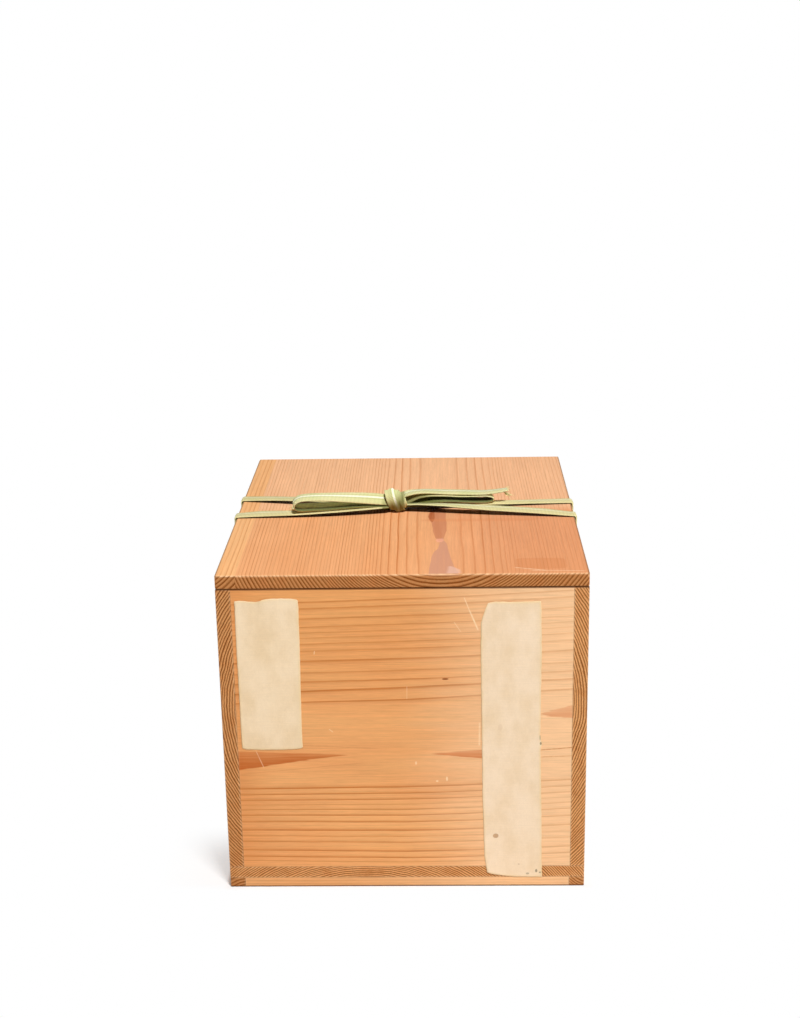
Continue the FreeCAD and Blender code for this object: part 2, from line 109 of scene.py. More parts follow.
class Field:
    """A shader socket that takes part in ordinary arithmetic."""

    def __init__(self, sheet: ShaderSheet, socket: bpy.types.NodeSocket) -> None:
        """Wraps one output socket of a sheet."""
        self.sheet = sheet
        self.socket = socket

    def math(self, operation: str, *values: Value) -> Field:
        """The result of a Math node on this value and the given ones."""
        inputs = dict(enumerate((self, *values)))
        return self.sheet.node("ShaderNodeMath", {"operation": operation}, inputs)

    def __add__(self, other: Value) -> Field:
        """This plus other."""
        return self.math("ADD", other)

    __radd__ = __add__

    def __sub__(self, other: Value) -> Field:
        """This less other."""
        return self.math("SUBTRACT", other)

    def __rsub__(self, other: float) -> Field:
        """Other less this."""
        return self.sheet.node("ShaderNodeMath", {"operation": "SUBTRACT"}, {0: other, 1: self})

    def __mul__(self, other: Value) -> Field:
        """This times other."""
        return self.math("MULTIPLY", other)

    __rmul__ = __mul__

    def __truediv__(self, other: Value) -> Field:
        """This divided by other."""
        return self.math("DIVIDE", other)

    def __pow__(self, other: Value) -> Field:
        """This to the power of other."""
        return self.math("POWER", other)

    def __abs__(self) -> Field:
        """The size of this, without its sign."""
        return self.math("ABSOLUTE")

    def ramp(self, low: Value, high: Value, start: Value = 0.0, end: Value = 1.0) -> Field:
        """A smooth step from start to end as this goes from low to high, held beyond them."""
        settings = {"interpolation_type": "SMOOTHSTEP", "clamp": True}
        return self.sheet.node("ShaderNodeMapRange", settings, {0: self, 1: low, 2: high, 3: start, 4: end})


Value = Field | float


class ShaderSheet:
    """One material under construction: a principled shader and the nodes that feed it."""

    def __init__(self, name: str, **sockets: object) -> None:
        """Starts a material whose principled shader has the given constant sockets.

        Args:
            name: The material's name.
            sockets: Constant values by socket name, with underscores for spaces.
        """
        self.material = bpy.data.materials.new(name)
        self.material.use_nodes = True
        self.tree = self.material.node_tree
        self.tree.nodes.clear()
        self.shader = self.tree.nodes.new("ShaderNodeBsdfPrincipled")
        for socket, value in sockets.items():
            self.shader.inputs[socket.replace("_", " ")].default_value = value
        output = self.tree.nodes.new("ShaderNodeOutputMaterial")
        self.tree.links.new(self.shader.outputs[0], output.inputs["Surface"])

    def node(
        self, kind: str, settings: Mapping[str, object] | None = None,
        inputs: Mapping[int | str, object] | None = None, output: int | str = 0,
    ) -> Field:
        """Adds one node.

        Args:
            kind: The node's type.
            settings: Attributes that are set first; stops are a colour ramp's places and colours.
            inputs: Values or fields by the input's name or number.
            output: The output that the returned field reads.

        Returns:
            The field of that output.
        """
        made = self.tree.nodes.new(kind)
        for name, value in (settings or {}).items():
            if name == "stops":
                self._fill_stops(made.color_ramp, value)
            else:
                setattr(made, name, value)
        for key, value in (inputs or {}).items():
            if isinstance(value, Field):
                self.tree.links.new(value.socket, made.inputs[key])
            else:
                made.inputs[key].default_value = value
        return Field(self, made.outputs[output])

    @staticmethod
    def _fill_stops(ramp: bpy.types.ColorRamp, stops: Sequence[tuple[float, float]]) -> None:
        """Gives a colour ramp straight grey steps through the given places and values."""
        ramp.interpolation = "LINEAR"
        while len(ramp.elements) < len(stops):
            ramp.elements.new(1.0)
        for element, (place, value) in zip(ramp.elements, sorted(stops), strict=True):
            element.position = place
            element.color = (value, value, value, 1.0)

    def feed(self, socket: str, value: Field) -> None:
        """Links a field to one socket of the principled shader."""
        self.tree.links.new(value.socket, self.shader.inputs[socket])

    def split(self, vector: Field) -> tuple[Field, Field, Field]:
        """The three parts of a vector."""
        first = self.node("ShaderNodeSeparateXYZ", None, {0: vector})
        outputs = first.socket.node.outputs
        return Field(self, outputs[0]), Field(self, outputs[1]), Field(self, outputs[2])

    def join(self, x: Value, y: Value, z: Value) -> Field:
        """A vector of three parts."""
        return self.node("ShaderNodeCombineXYZ", None, {0: x, 1: y, 2: z})

    def coordinates(self, kind: str) -> Field:
        """The Object, Normal or UV output of the texture coordinates."""
        return self.node("ShaderNodeTexCoord", None, None, kind)

    def noise(self, vector: Field, detail: float = 2.0, roughness: float = 0.5) -> Field:
        """Smooth noise about 0, from -0.5 to 0.5, with one bump for each unit of the vector."""
        inputs = {"Vector": vector, "Scale": 1.0, "Detail": detail, "Roughness": roughness}
        return self.node("ShaderNodeTexNoise", {"noise_dimensions": "3D"}, inputs) - 0.5

    def noise_vector(self, vector: Field) -> tuple[Field, Field, Field]:
        """Three separate smooth noises about 0, with little detail."""
        inputs = {"Vector": vector, "Scale": 1.0, "Detail": 1.0, "Roughness": 0.5}
        colour = self.node("ShaderNodeTexNoise", {"noise_dimensions": "3D"}, inputs, "Color")
        first, second, third = self.split(colour)
        return first - 0.5, second - 0.5, third - 0.5

    def chance(self, seed: Field) -> Field:
        """A random value from 0 to 1 that stays the same for each whole seed."""
        return self.node("ShaderNodeTexWhiteNoise", {"noise_dimensions": "1D"}, {"W": seed})

    def mix(self, factor: Value, first: Field | Colour, second: Field | Colour) -> Field:
        """A colour between two, by a factor from 0 to 1."""
        settings = {"data_type": "RGBA", "blend_type": "MIX", "clamp_factor": True}
        return self.node("ShaderNodeMix", settings, {0: factor, 6: first, 7: second}, 2)

    def scaled(self, colour: Field, factor: Value) -> Field:
        """A colour or a vector times a factor."""
        return self.node("ShaderNodeVectorMath", {"operation": "SCALE"}, {0: colour, "Scale": factor})

    def bump(self, height: Field, distance: float, strength: float) -> Field:
        """A normal from a height that is 0 to 1 over a distance in metres."""
        inputs = {"Height": height, "Distance": distance, "Strength": strength}
        return self.node("ShaderNodeBump", None, inputs)


# Wood


class Grain(Enum):
    """Which way a board's fibres run: the axis numbers along them, across its face, and through it."""

    BOARD_ACROSS_FRONT = (0, 2, 1)
    BOARD_DOWN_SIDE = (1, 2, 0)
    FLAT_FRONT_TO_BACK = (1, 0, 2)
    FLAT_ACROSS = (0, 1, 2)
    PEG_SIDEWAYS = (0, 1, 2)
    PEG_UPRIGHT = (2, 0, 1)


@dataclass(frozen=True)
class WoodPlace:
    """Where a shaded point lies in its board: along the grain, across the face, and through the thickness."""

    sheet: ShaderSheet
    along: Field
    across: Field
    deep: Field

    def stretched(self, length: float, width: float) -> Field:
        """A vector whose unit is the given length along the grain and the given width across it."""
        return self.sheet.join(self.along * (1 / length), self.across * (1 / width), self.deep * (1 / width))


@dataclass(frozen=True)
class RoundRings:
    """Growth rings as round shells about the heart of the tree, which lies along the grain."""

    heart_across: float
    heart_deep: float
    zones: tuple[tuple[float, float], ...]
    drift: float = 0.0
    wander: float = 1.3 * MM
    uneven: float = 0.8
    squeeze: float = 0.0

    def count(self, place: WoodPlace) -> tuple[Field, Field]:
        """The ring number at a point, with its fraction, and a seed for each ring.

        The distance from the heart is the root of the summed squares of the two offsets from it, after both
        wander along the grain and across the section. The number grows with that distance: each zone gives
        the distance at which it starts and the width of its rings. The squeeze packs the rings tighter on the
        lower side.
        """
        sheet = place.sheet
        slow_across, slow_deep, pace = sheet.noise_vector(place.stretched(0.23, 0.07))
        mid_across, mid_deep, _ = sheet.noise_vector(place.stretched(0.11, 0.015))
        quick = sheet.noise(place.stretched(0.035, 0.0035), 1.0)
        across = place.across - self.heart_across - place.along * self.drift
        across = across + across.math("MINIMUM", 0.0) * self.squeeze
        across = across + slow_across * (3 * self.wander) + mid_across * self.wander
        deep = place.deep - self.heart_deep + slow_deep * (3 * self.wander) + mid_deep * self.wander
        radius = (across * across + deep * deep).math("SQRT") + quick * (0.35 * self.wander)
        number = radius * (1 / self.zones[0][1])
        for (_, before), (start, after) in zip(self.zones, self.zones[1:]):
            number = number + (radius - start).math("MAXIMUM", 0.0) * (1 / after - 1 / before)
        ring_pace = sheet.noise(sheet.join(number * 0.21, pace * 0.3, 0.0), 1.0)
        number = number + ring_pace * (2 * self.uneven)
        return number, number.math("FLOOR")


@dataclass(frozen=True)
class SawnRings:
    """Growth rings by the lines where they meet a flat-sawn face, up from the board's lower edge."""

    low: float
    height: float
    middle: float
    below: tuple[float, ...]
    above: tuple[float, ...]
    bend: float = 0.14
    foot_slopes: tuple[float, float] = (-0.016, 0.014)
    middle_slopes: tuple[float, float] = (0.018, 0.026)
    top_slope: float = 0.01
    first_slope: float = 0.02
    wander: float = 1.2 * MM
    plain_share: float = 0.3
    line_reach: float = 5.5 * MM
    end_share: float = 0.6
    upper_seed: float = 40.0

    def _stops(self) -> tuple[list[tuple[float, float]], float]:
        """Ramp stops from a place up the board to a ring number, and the number that its 1 stands for."""
        top = max(len(self.above), len(self.below)) + 1.0
        stops = [(self.middle, 0.0)]
        for lines, sign in ((self.below, -1), (self.above, 1)):
            stops.append((lines[0] - sign * self.line_reach, self.plain_share))
            stops += [(line, float(number)) for number, line in enumerate(lines, 1)]
        stops.append((0.0, len(self.below) + self.end_share))
        stops.append((self.height, len(self.above) + self.end_share))
        return [(place / self.height, number / top) for place, number in stops], top

    def count(self, place: WoodPlace) -> tuple[Field, Field]:
        """The ring number at a point, with its fraction, and a seed for each ring.

        The place up the board, less a slope and a bend along it and slow waves, is looked up among the lines;
        the number is 0 in the plain middle and grows by 1 at each line above and below it. The slopes are
        given for the left and the right half, at the foot and in the middle of the board: the lowest lines
        fall a little to the right up to the middle, the upper ones rise, and the first one above the plain
        zone most.
        """
        sheet = place.sheet
        slow, quick, _ = sheet.noise_vector(place.stretched(0.16, 0.05))
        ripple = sheet.noise(place.stretched(0.028, 0.006), 1.0)
        up = place.across - self.low
        left = place.along.math("MINIMUM", 0.0)
        right = place.along.math("MAXIMUM", 0.0)
        height = self.height
        first = up.ramp(0.6 * height, 0.62 * height) * up.ramp(0.7 * height, 0.64 * height) * self.first_slope
        left_slope, right_slope = (
            up.ramp(0.0, 0.4 * height, foot, middle)
            for foot, middle in zip(self.foot_slopes, self.middle_slopes)
        )
        left_slope = left_slope + up.ramp(0.5 * height, height) * self.top_slope + first
        tilt = left * left_slope + right * (right_slope + first) + right * right * self.bend
        waved = up - tilt + (slow + quick) * self.wander + ripple * (0.45 * self.wander)
        stops, top = self._stops()
        number = sheet.node("ShaderNodeValToRGB", {"stops": stops}, {0: waved * (1 / height)}) * top
        side = waved.math("GREATER_THAN", self.middle) * self.upper_seed
        return number, number.math("FLOOR") + side


@dataclass(frozen=True)
class Flame:
    """A pointed flame of darker late wood on a flat-sawn face, from its tip to the end of the board."""

    tip: float
    level: float
    reach: float
    half_height: float
    drop: float
    colour: Colour
    strength: float
    growth: float = 1.05
    ragged: float = 1.5 * MM
    stop: float = 2.0
    fullest: float = 1.4
    drop_power: float = 1.4
    soft: float = 0.3 * MM

    def cover(self, place: WoodPlace) -> Field:
        """Its cover from 0 to 1.

        Its half height grows as a power of the way from the tip, and long thin fibres make its outline
        ragged; it is darkest along its lower edge and has faint streaks along the grain. It stops at a share
        past its reach.
        """
        sheet = place.sheet
        way = ((place.along - self.tip) * (1 / self.reach)).math("MAXIMUM", 0.0)
        fibres = sheet.noise(place.stretched(24 * MM, 0.8 * MM), 3.0, FIBRE_ROUGHNESS)
        half = (way.math("MINIMUM", self.fullest) ** self.growth) * self.half_height
        half = half + fibres * way.ramp(0.0, 0.25) * (2 * self.ragged)
        rise = place.across - self.level + (way ** self.drop_power) * self.drop
        ends = way.ramp(0.0, 0.04) * way.ramp(self.stop, self.stop - 0.2)
        edge = (half - abs(rise)).ramp(-0.2 * MM, 0.7 * MM) * ends
        depth = (rise / (half + self.soft)).ramp(1.0, -1.0, 0.6, 1.0)
        streaks = sheet.noise(place.stretched(40 * MM, 1.3 * MM), 2.0) * 0.7
        return edge * (depth + streaks) * self.strength


@dataclass(frozen=True)
class Fade:
    """A slow change of colour over a board, from one place along or across it to another.

    As a board's tint it colours the early wood, and the dark late wood by the late share.
    """

    start: float
    end: float
    colour: Colour
    strength: float
    crosswise: bool = False
    late_share: float = 0.6

    def cover(self, place: WoodPlace) -> Field:
        """Its cover from 0 to 1: a smooth step along or across the grain, whose place wanders."""
        wander = place.sheet.noise(place.stretched(0.09, 0.012), 3.0) * (0.5 * (self.end - self.start))
        where = place.across if self.crosswise else place.along
        return (where + wander).ramp(self.start, self.end) * self.strength


@dataclass(frozen=True)
class Blotch:
    """A soft-edged patch on the face, round or long."""

    along: float
    across: float
    half_length: float
    half_width: float
    colour: Colour
    strength: float
    square: float = 2.0

    def cover(self, place: WoodPlace) -> Field:
        """Its cover from 0 to 1: a rounded box about its centre, broken up by noise."""
        near_along = abs((place.along - self.along) * (1 / self.half_length)) ** self.square
        near_across = abs((place.across - self.across) * (1 / self.half_width)) ** self.square
        broken = place.sheet.noise(place.stretched(0.012, 0.004), 3.0) * 0.55
        return (near_along + near_across + broken).ramp(1.15, 0.55) * self.strength


@dataclass(frozen=True)
class Figure:
    """An island of late wood with a crisp outline: rows of place along, lower edge and upper edge, in mm."""

    outline: tuple[tuple[float, float, float], ...]
    colour: Colour
    strength: float
    soft: float = 0.8 * MM

    def cover(self, place: WoodPlace) -> Field:
        """Its cover from 0 to 1: between its two edges, which are looked up along the grain and waver."""
        sheet = place.sheet
        first, last = self.outline[0][0] * MM, self.outline[-1][0] * MM
        way = (place.along - first) * (1 / (last - first))
        across = place.across + sheet.noise(place.stretched(0.012, 0.004), 3.0) * (1.2 * MM)
        inside = way.ramp(-0.001, 0.01) * way.ramp(1.001, 0.99)
        for edge, inward in ((1, 1.0), (2, -1.0)):
            values = [row[edge] * MM for row in self.outline]
            low, span = min(values), max(values) - min(values)
            stops = [(row[0] * MM, value) for row, value in zip(self.outline, values)]
            stops = [((where - first) / (last - first), (value - low) / span) for where, value in stops]
            line = sheet.node("ShaderNodeValToRGB", {"stops": stops}, {0: way}) * span + low
            inside = inside * ((across - line) * inward).ramp(-0.5 * self.soft, 0.5 * self.soft)
        return inside * (sheet.noise(place.stretched(0.03, 0.002), 2.0) * 0.5 + 1.0) * self.strength


@dataclass(frozen=True)
class Scratch:
    """A thin light or dark scratch between two points of the face."""

    start: tuple[float, float]
    end: tuple[float, float]
    width: float
    colour: Colour
    strength: float

    def cover(self, place: WoodPlace) -> Field:
        """Its cover from 0 to 1: near the straight line between its ends, broken along its length."""
        run = self.end[0] - self.start[0]
        rise = self.end[1] - self.start[1]
        length = math.hypot(run, rise)
        along = place.along - self.start[0]
        across = place.across - self.start[1]
        way = (along * run + across * rise) * (1 / length**2)
        offset = abs(along * rise - across * run) * (1 / length)
        broken = place.sheet.noise(place.stretched(0.003, 0.003), 2.0) * 1.2
        ends = way.ramp(-0.03, 0.08) * way.ramp(1.03, 0.92)
        return offset.ramp(self.width, self.width * 0.2) * ends * (broken + 0.75) * self.strength


Mark = Flame | Fade | Blotch | Figure | Scratch


@dataclass(frozen=True)
class ShadeLine:
    """A line of painted shade along a gap, at one level of an object axis, or along an edge, at levels of two
    axes.
    """

    axis: int
    level: float
    half_width: float
    strength: float
    edge_axis: int | None = None
    edge_level: float = 0.0

    def cover(self, parts: Sequence[Field]) -> Field:
        """Its cover from 0 to 1, by the distance from the level, or by the larger of both distances."""
        away = abs(parts[self.axis] - self.level)
        if self.edge_axis is not None:
            away = away.math("MAXIMUM", abs(parts[self.edge_axis] - self.edge_level))
        return away.ramp(self.half_width, self.half_width * 0.35) * self.strength


@dataclass(frozen=True)
class CedarTone:
    """The colours of one board: early and late wood on its face, and on its end grain."""

    early: Colour = srgb(236, 172, 111)
    late: Colour = srgb(196, 118, 60)
    end_early: Colour = srgb(204, 144, 88)
    end_late: Colour = srgb(124, 66, 22)
    blush: Colour = srgb(228, 156, 98)


@dataclass(frozen=True)
class Cedar:
    """Planed bare cedar: rings, fibres, tone, wear, lines of painted shade and marks of one board."""

    name: str
    grain: Grain
    rings: RoundRings | SawnRings
    tone: CedarTone = field(default_factory=CedarTone)
    tints: tuple[Fade, ...] = ()
    marks: tuple[Mark, ...] = ()
    marked_face: float = 0.0
    late_start: float = 0.45
    soft_share: float = 0.4
    line_strength: float = 1.0
    wear: float = 0.35
    worn_above: float = -1.0
    grime: float = 0.3
    shade_lines: tuple[ShadeLine, ...] = ()
    bare: Colour = srgb(248, 206, 158)
    dirt_and_shade: Colour = srgb(92, 50, 20)

    def dress(self, piece: bpy.types.Object, edges: tuple[Vector, Vector]) -> None:
        """Gives a piece this wood.

        Args:
            piece: The board.
            edges: The lowest and highest corner of the box whose arrises are worn.
        """
        sheet = ShaderSheet(self.name, Specular_IOR_Level=0.03)
        parts = sheet.split(sheet.coordinates("Object"))
        place = WoodPlace(sheet, *(parts[axis] for axis in self.grain.value))
        number, seed = self.rings.count(place)
        turn = number.math("FRACT")
        strength = sheet.chance(seed + 0.5) * 0.6 + 0.4
        soft = turn.ramp(self.late_start, 0.92) * self.soft_share
        crisp = turn.ramp(0.76, 0.9) * (1 - self.soft_share)
        late = (soft + crisp) * turn.ramp(1.0, 0.955) * strength
        end = self._end_grain(sheet)
        fibre = sheet.noise(place.stretched(12 * MM, 0.6 * MM), 3.0, FIBRE_ROUGHNESS)
        streak = sheet.noise(place.stretched(60 * MM, 1.7 * MM), 3.0, FIBRE_ROUGHNESS)
        cut_late = turn.ramp(0.3, 0.8) * turn.ramp(1.0, 0.92) * (strength * 0.4 + 0.6)
        colour = self._colour(sheet, place, (late, cut_late), end, fibre, streak)
        colour = self._marked(sheet, place, colour)
        colour, worn = self._edged(sheet, parts, place, edges, colour, cut_late)
        sheet.feed("Base Color", colour)
        roughness = fibre * 0.18 + late * 0.06 + worn * 0.1 + end * 0.2 + 0.6
        sheet.feed("Roughness", roughness.math("MINIMUM", 0.9))
        height = late * 0.5 + fibre * (0.9 - 0.3 * end) + streak * 0.25
        sheet.feed("Normal", sheet.bump(height, 0.09 * MM, 0.8))
        piece.data.materials.clear()
        piece.data.materials.append(sheet.material)

    def _end_grain(self, sheet: ShaderSheet) -> Field:
        """1 where the surface cuts across the fibres, 0 along them."""
        normal = sheet.split(sheet.coordinates("Normal"))[self.grain.value[0]]
        return abs(normal).ramp(0.45, 0.8)

    def _colour(
        self, sheet: ShaderSheet, place: WoodPlace, lates: tuple[Field, Field], end: Field, fibre: Field,
        streak: Field,
    ) -> Field:
        """The bare wood's colour: early and late wood, blushed, tinted and streaked along the grain."""
        late, cut_late = lates
        blush = sheet.noise(place.stretched(0.19, 0.045), 3.0).ramp(-0.16, 0.2) * 0.8
        early = sheet.mix(blush, self.tone.early, self.tone.blush)
        dark: Field | Colour = self.tone.late
        for tint in self.tints:
            cover = tint.cover(place)
            early = sheet.mix(cover, early, tint.colour)
            dark = sheet.mix(cover * tint.late_share, dark, tint.colour)
        face = sheet.mix(late * self.line_strength, early, dark)
        rays = sheet.noise(place.stretched(0.02, 0.9 * MM), 3.0, 0.7)
        damp = sheet.noise(place.stretched(0.05, 9 * MM), 2.0).ramp(-0.1, 0.25) * 0.35
        cut = sheet.mix(damp, self.tone.end_early, self.tone.late)
        cut = sheet.mix(cut_late + rays * 0.5, cut, self.tone.end_late)
        colour = sheet.mix(end, face, cut)
        cloud = sheet.noise(place.stretched(0.11, 0.022), 3.0, 0.6)
        light = 1.0 + fibre * 0.3 + streak * 0.4 + cloud * 0.14
        return sheet.scaled(colour, light)

    def _marked(self, sheet: ShaderSheet, place: WoodPlace, colour: Field) -> Field:
        """The colour with this board's own marks on its outer face."""
        if not self.marks:
            return colour
        near = abs(place.deep - self.marked_face).ramp(2.2 * MM, 1.2 * MM)
        for mark in self.marks:
            colour = sheet.mix(mark.cover(place) * near, colour, mark.colour)
        return colour

    def _edged(
        self, sheet: ShaderSheet, parts: Sequence[Field], place: WoodPlace,
        edges: tuple[Vector, Vector], colour: Field, late: Field,
    ) -> tuple[Field, Field]:
        """The colour with worn light arrises, grime in the joints and lines of painted shade, and how worn a
        point is.

        On a box the second smallest of the three distances to its faces is the distance to the nearest arris.
        """
        gaps = [(high - low) / 2 - abs(part - (low + high) / 2) for part, low, high in zip(parts, *edges)]
        above = place.deep.ramp(self.worn_above - 1 * MM, self.worn_above)
        least = gaps[0].math("MINIMUM", gaps[1]).math("MINIMUM", gaps[2])
        most = gaps[0].math("MAXIMUM", gaps[1]).math("MAXIMUM", gaps[2])
        arris = gaps[0] + gaps[1] + gaps[2] - least - most
        patchy = sheet.noise(place.stretched(0.022, 0.004), 4.0, FIBRE_ROUGHNESS)
        worn = arris.ramp(1.5 * MM, 0.4 * MM) * (patchy * 2.2 + 0.75).math("MAXIMUM", 0.0) * self.wear * above
        worn = worn * (1.15 - late * 0.8)
        grime_and_shade = arris.ramp(0.7 * MM, 0.1 * MM) * (patchy * -1.6 + 0.8).math("MAXIMUM", 0.0) * self.grime
        colour = sheet.mix(worn, colour, self.bare)
        # Lines of painted shade darken the gap under the lid, the foot on the floor and the lid's side edges;
        # they share one dark colour with the grime.
        for shade_line in self.shade_lines:
            grime_and_shade = grime_and_shade.math("MAXIMUM", shade_line.cover(parts))
        return sheet.mix(grime_and_shade, colour, self.dirt_and_shade), worn


# Paper


@dataclass(frozen=True)
class AgedPaper:
    """Handmade paper that has yellowed, with fibres, cloudy patches and glue at its edges."""

    name: str
    base: Colour = srgb(246, 221, 190)
    cloud: Colour = srgb(237, 209, 172)
    glue: Colour = srgb(240, 208, 152)
    strand: Colour = srgb(206, 176, 134)
    stains: tuple[Blotch, ...] = ()

    def dress(self, piece: bpy.types.Object, width: float, height: float) -> None:
        """Gives a label this paper, whose UV map runs from 0 to 1 over its width and height."""
        sheet = ShaderSheet(self.name, Specular_IOR_Level=0.2)
        parts = sheet.split(sheet.coordinates("Object"))
        place = WoodPlace(sheet, parts[2], parts[0], parts[1])
        across, up, _ = sheet.split(sheet.coordinates("UV"))
        cloud = sheet.noise(place.stretched(26 * MM, 17 * MM), 4.0, 0.6)
        pulp = sheet.noise(place.stretched(1.6 * MM, 1.1 * MM), 4.0, 0.7)
        strand = sheet.noise(place.stretched(9 * MM, 0.5 * MM), 2.0)
        laid = sheet.noise(place.stretched(0.6 * MM, 14 * MM), 2.0)
        colour = sheet.mix(cloud.ramp(-0.2, 0.22), self.base, self.cloud)
        edge = (0.5 - abs(across - 0.5)) * width
        ends = (0.5 - abs(up - 0.5)) * height
        near = edge.math("MINIMUM", ends)
        colour = sheet.mix(near.ramp(2.4 * MM, 0.4 * MM) * (cloud + 0.7) * 0.7, colour, self.glue)
        colour = sheet.mix(strand.ramp(0.2, 0.34) * 0.3, colour, self.strand)
        for stain in self.stains:
            colour = sheet.mix(stain.cover(place), colour, stain.colour)
        light = 1.0 + pulp * 0.14 + laid * 0.1
        sheet.feed("Base Color", sheet.scaled(colour, light))
        sheet.feed("Roughness", pulp * 0.1 + 0.8)
        sheet.feed("Normal", sheet.bump(pulp + strand * 0.5 + laid * 0.3, 0.12 * MM, 0.7))
        piece.data.materials.append(sheet.material)


def mesh_object(name: str, points: np.ndarray, faces: np.ndarray, corners: np.ndarray) -> bpy.types.Object:
    """A smooth mesh object from arrays.

    Args:
        name: The object's and the mesh's name.
        points: One row of three coordinates for each vertex.
        faces: One row of four vertex numbers for each face.
        corners: UV coordinates, one pair for each corner of each face.

    Returns:
        The object, linked to the scene.
    """
    mesh = bpy.data.meshes.new(name)
    mesh.vertices.add(len(points))
    mesh.vertices.foreach_set("co", points.astype(np.float32).ravel())
    mesh.loops.add(faces.size)
    mesh.loops.foreach_set("vertex_index", faces.astype(np.int32).ravel())
    mesh.polygons.add(len(faces))
    mesh.polygons.foreach_set("loop_start", np.arange(0, faces.size, 4, dtype=np.int32))
    mesh.polygons.foreach_set("use_smooth", np.full(len(faces), True))
    layer = mesh.uv_layers.new(name="UVMap")
    layer.data.foreach_set("uv", corners.astype(np.float32).ravel())
    mesh.update(calc_edges=True)
    mesh.validate()
    made = bpy.data.objects.new(name, mesh)
    bpy.context.scene.collection.objects.link(made)
    return made


def grid_faces(rows: int, columns: int, wrapped: bool) -> np.ndarray:
    """The faces of a grid of vertices that are counted row by row.

    Args:
        rows: How many rows of vertices there are.
        columns: How many vertices are in a row.
        wrapped: Whether the last column is joined to the first.

    Returns:
        Four vertex numbers for each face.
    """
    here = np.arange(rows - 1)[:, None] * columns
    above = here + columns
    column = np.arange(columns if wrapped else columns - 1)[None, :]
    after = (column + 1) % columns
    faces = [here + column, here + after, above + after, above + column]
    return np.stack(faces, axis=-1).reshape(-1, 4)


def grid_corners(u: np.ndarray, v: np.ndarray) -> np.ndarray:
    """UV pairs for the corners of a grid's faces, from the u of its rows and the v of its column lines."""
    u0, u1 = u[:-1, None], u[1:, None]
    v0, v1 = v[None, :-1], v[None, 1:]
    pairs = [(u0, v0), (u0, v1), (u1, v1), (u1, v0)]
    return np.stack([np.stack(np.broadcast_arrays(a, b), axis=-1) for a, b in pairs], axis=2).reshape(-1, 2)


def soft_waves(rng: np.random.Generator, x: np.ndarray, y: np.ndarray, scale: float) -> np.ndarray:
    """A gentle uneven surface: the mean of sine waves in random directions, of about the given length."""
    waves = 7
    total = np.zeros(np.broadcast(x, y).shape)
    for _ in range(waves):
        turn, shift = rng.uniform(0, 2 * np.pi, 2)
        pace = 2 * np.pi / (scale * rng.uniform(0.6, 1.7))
        total += np.sin((x * np.cos(turn) + y * np.sin(turn)) * pace + shift)
    return total / waves


@dataclass(frozen=True)
class PaperLabel:
    """A bare paper label pasted on the front, whose four edges are cut by hand."""

    name: str
    node: str
    seed: int
    low_edge: tuple[tuple[float, float], ...]
    top_edge: tuple[tuple[float, float], ...]
    left_edge: tuple[tuple[float, float], ...]
    right_edge: tuple[tuple[float, float], ...]
    finish: AgedPaper
    curls: tuple[tuple[float, float, float, float], ...] = ()
    cell: float = 0.9 * MM
    thickness: float = 0.16 * MM
    gap: float = 0.05 * MM
    ripple: float = 0.14 * MM
    ripple_length: float = 21 * MM
    deckle: float = 0.25 * MM
    deckle_length: float = 7 * MM

    def build(self) -> bpy.types.Object:
        """The label's sheet: a grid between its four edges, with ripples and lifted corners.

        The edges are places across and up the front in millimetres. A point at shares u and v of the width
        and height lies between the left and right edges at v and between the lower and top edges at u. The
        sheet stands off the wood by the gap, the ripple's soft waves, and at each curl by its lift times a
        bell of the distance from it.
        """
        low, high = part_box(self.node)
        width, height = high.x - low.x, high.z - low.z
        rng = np.random.default_rng(self.seed)
        u = np.linspace(0, 1, int(width / self.cell) + 1)[:, None]
        v = np.linspace(0, 1, int(height / self.cell) + 1)[None, :]
        sides = [np.array(edge) * MM for edge in (self.left_edge, self.right_edge)]
        ends = [np.array(edge) * MM for edge in (self.low_edge, self.top_edge)]
        left, right = (np.interp(low.z + v * height, edge[:, 1], edge[:, 0]) for edge in sides)
        bottom, top = (np.interp(low.x + u * width, edge[:, 0], edge[:, 1]) for edge in ends)
        rough_x = self.deckle * soft_waves(rng, np.zeros_like(v), v * height, self.deckle_length)
        rough_z = self.deckle * soft_waves(rng, u * width, np.zeros_like(u), self.deckle_length)
        x = left + (right - left) * u + rough_x
        z = bottom + (top - bottom) * v + rough_z
        stand = self.gap + self.ripple * (0.5 + 0.5 * soft_waves(rng, x, z, self.ripple_length))
        for at_u, at_v, lift, reach in self.curls:
            distance = ((u - at_u) * width) ** 2 + ((v - at_v) * height) ** 2
            stand = stand + lift * np.exp(-distance / reach**2)
        y = high.y - stand - self.thickness
        points = np.stack(np.broadcast_arrays(x, y, z), axis=-1).reshape(-1, 3)
        faces = grid_faces(u.size, v.size, wrapped=False)
        made = mesh_object(self.name, points, faces, grid_corners(u.ravel(), v.ravel()))
        solid = made.modifiers.new("thickness", "SOLIDIFY")
        solid.thickness = self.thickness
        solid.offset = 0.0
        self.finish.dress(made, width, height)
        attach(made, "box")
        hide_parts(self.node)
        return made


# Cord


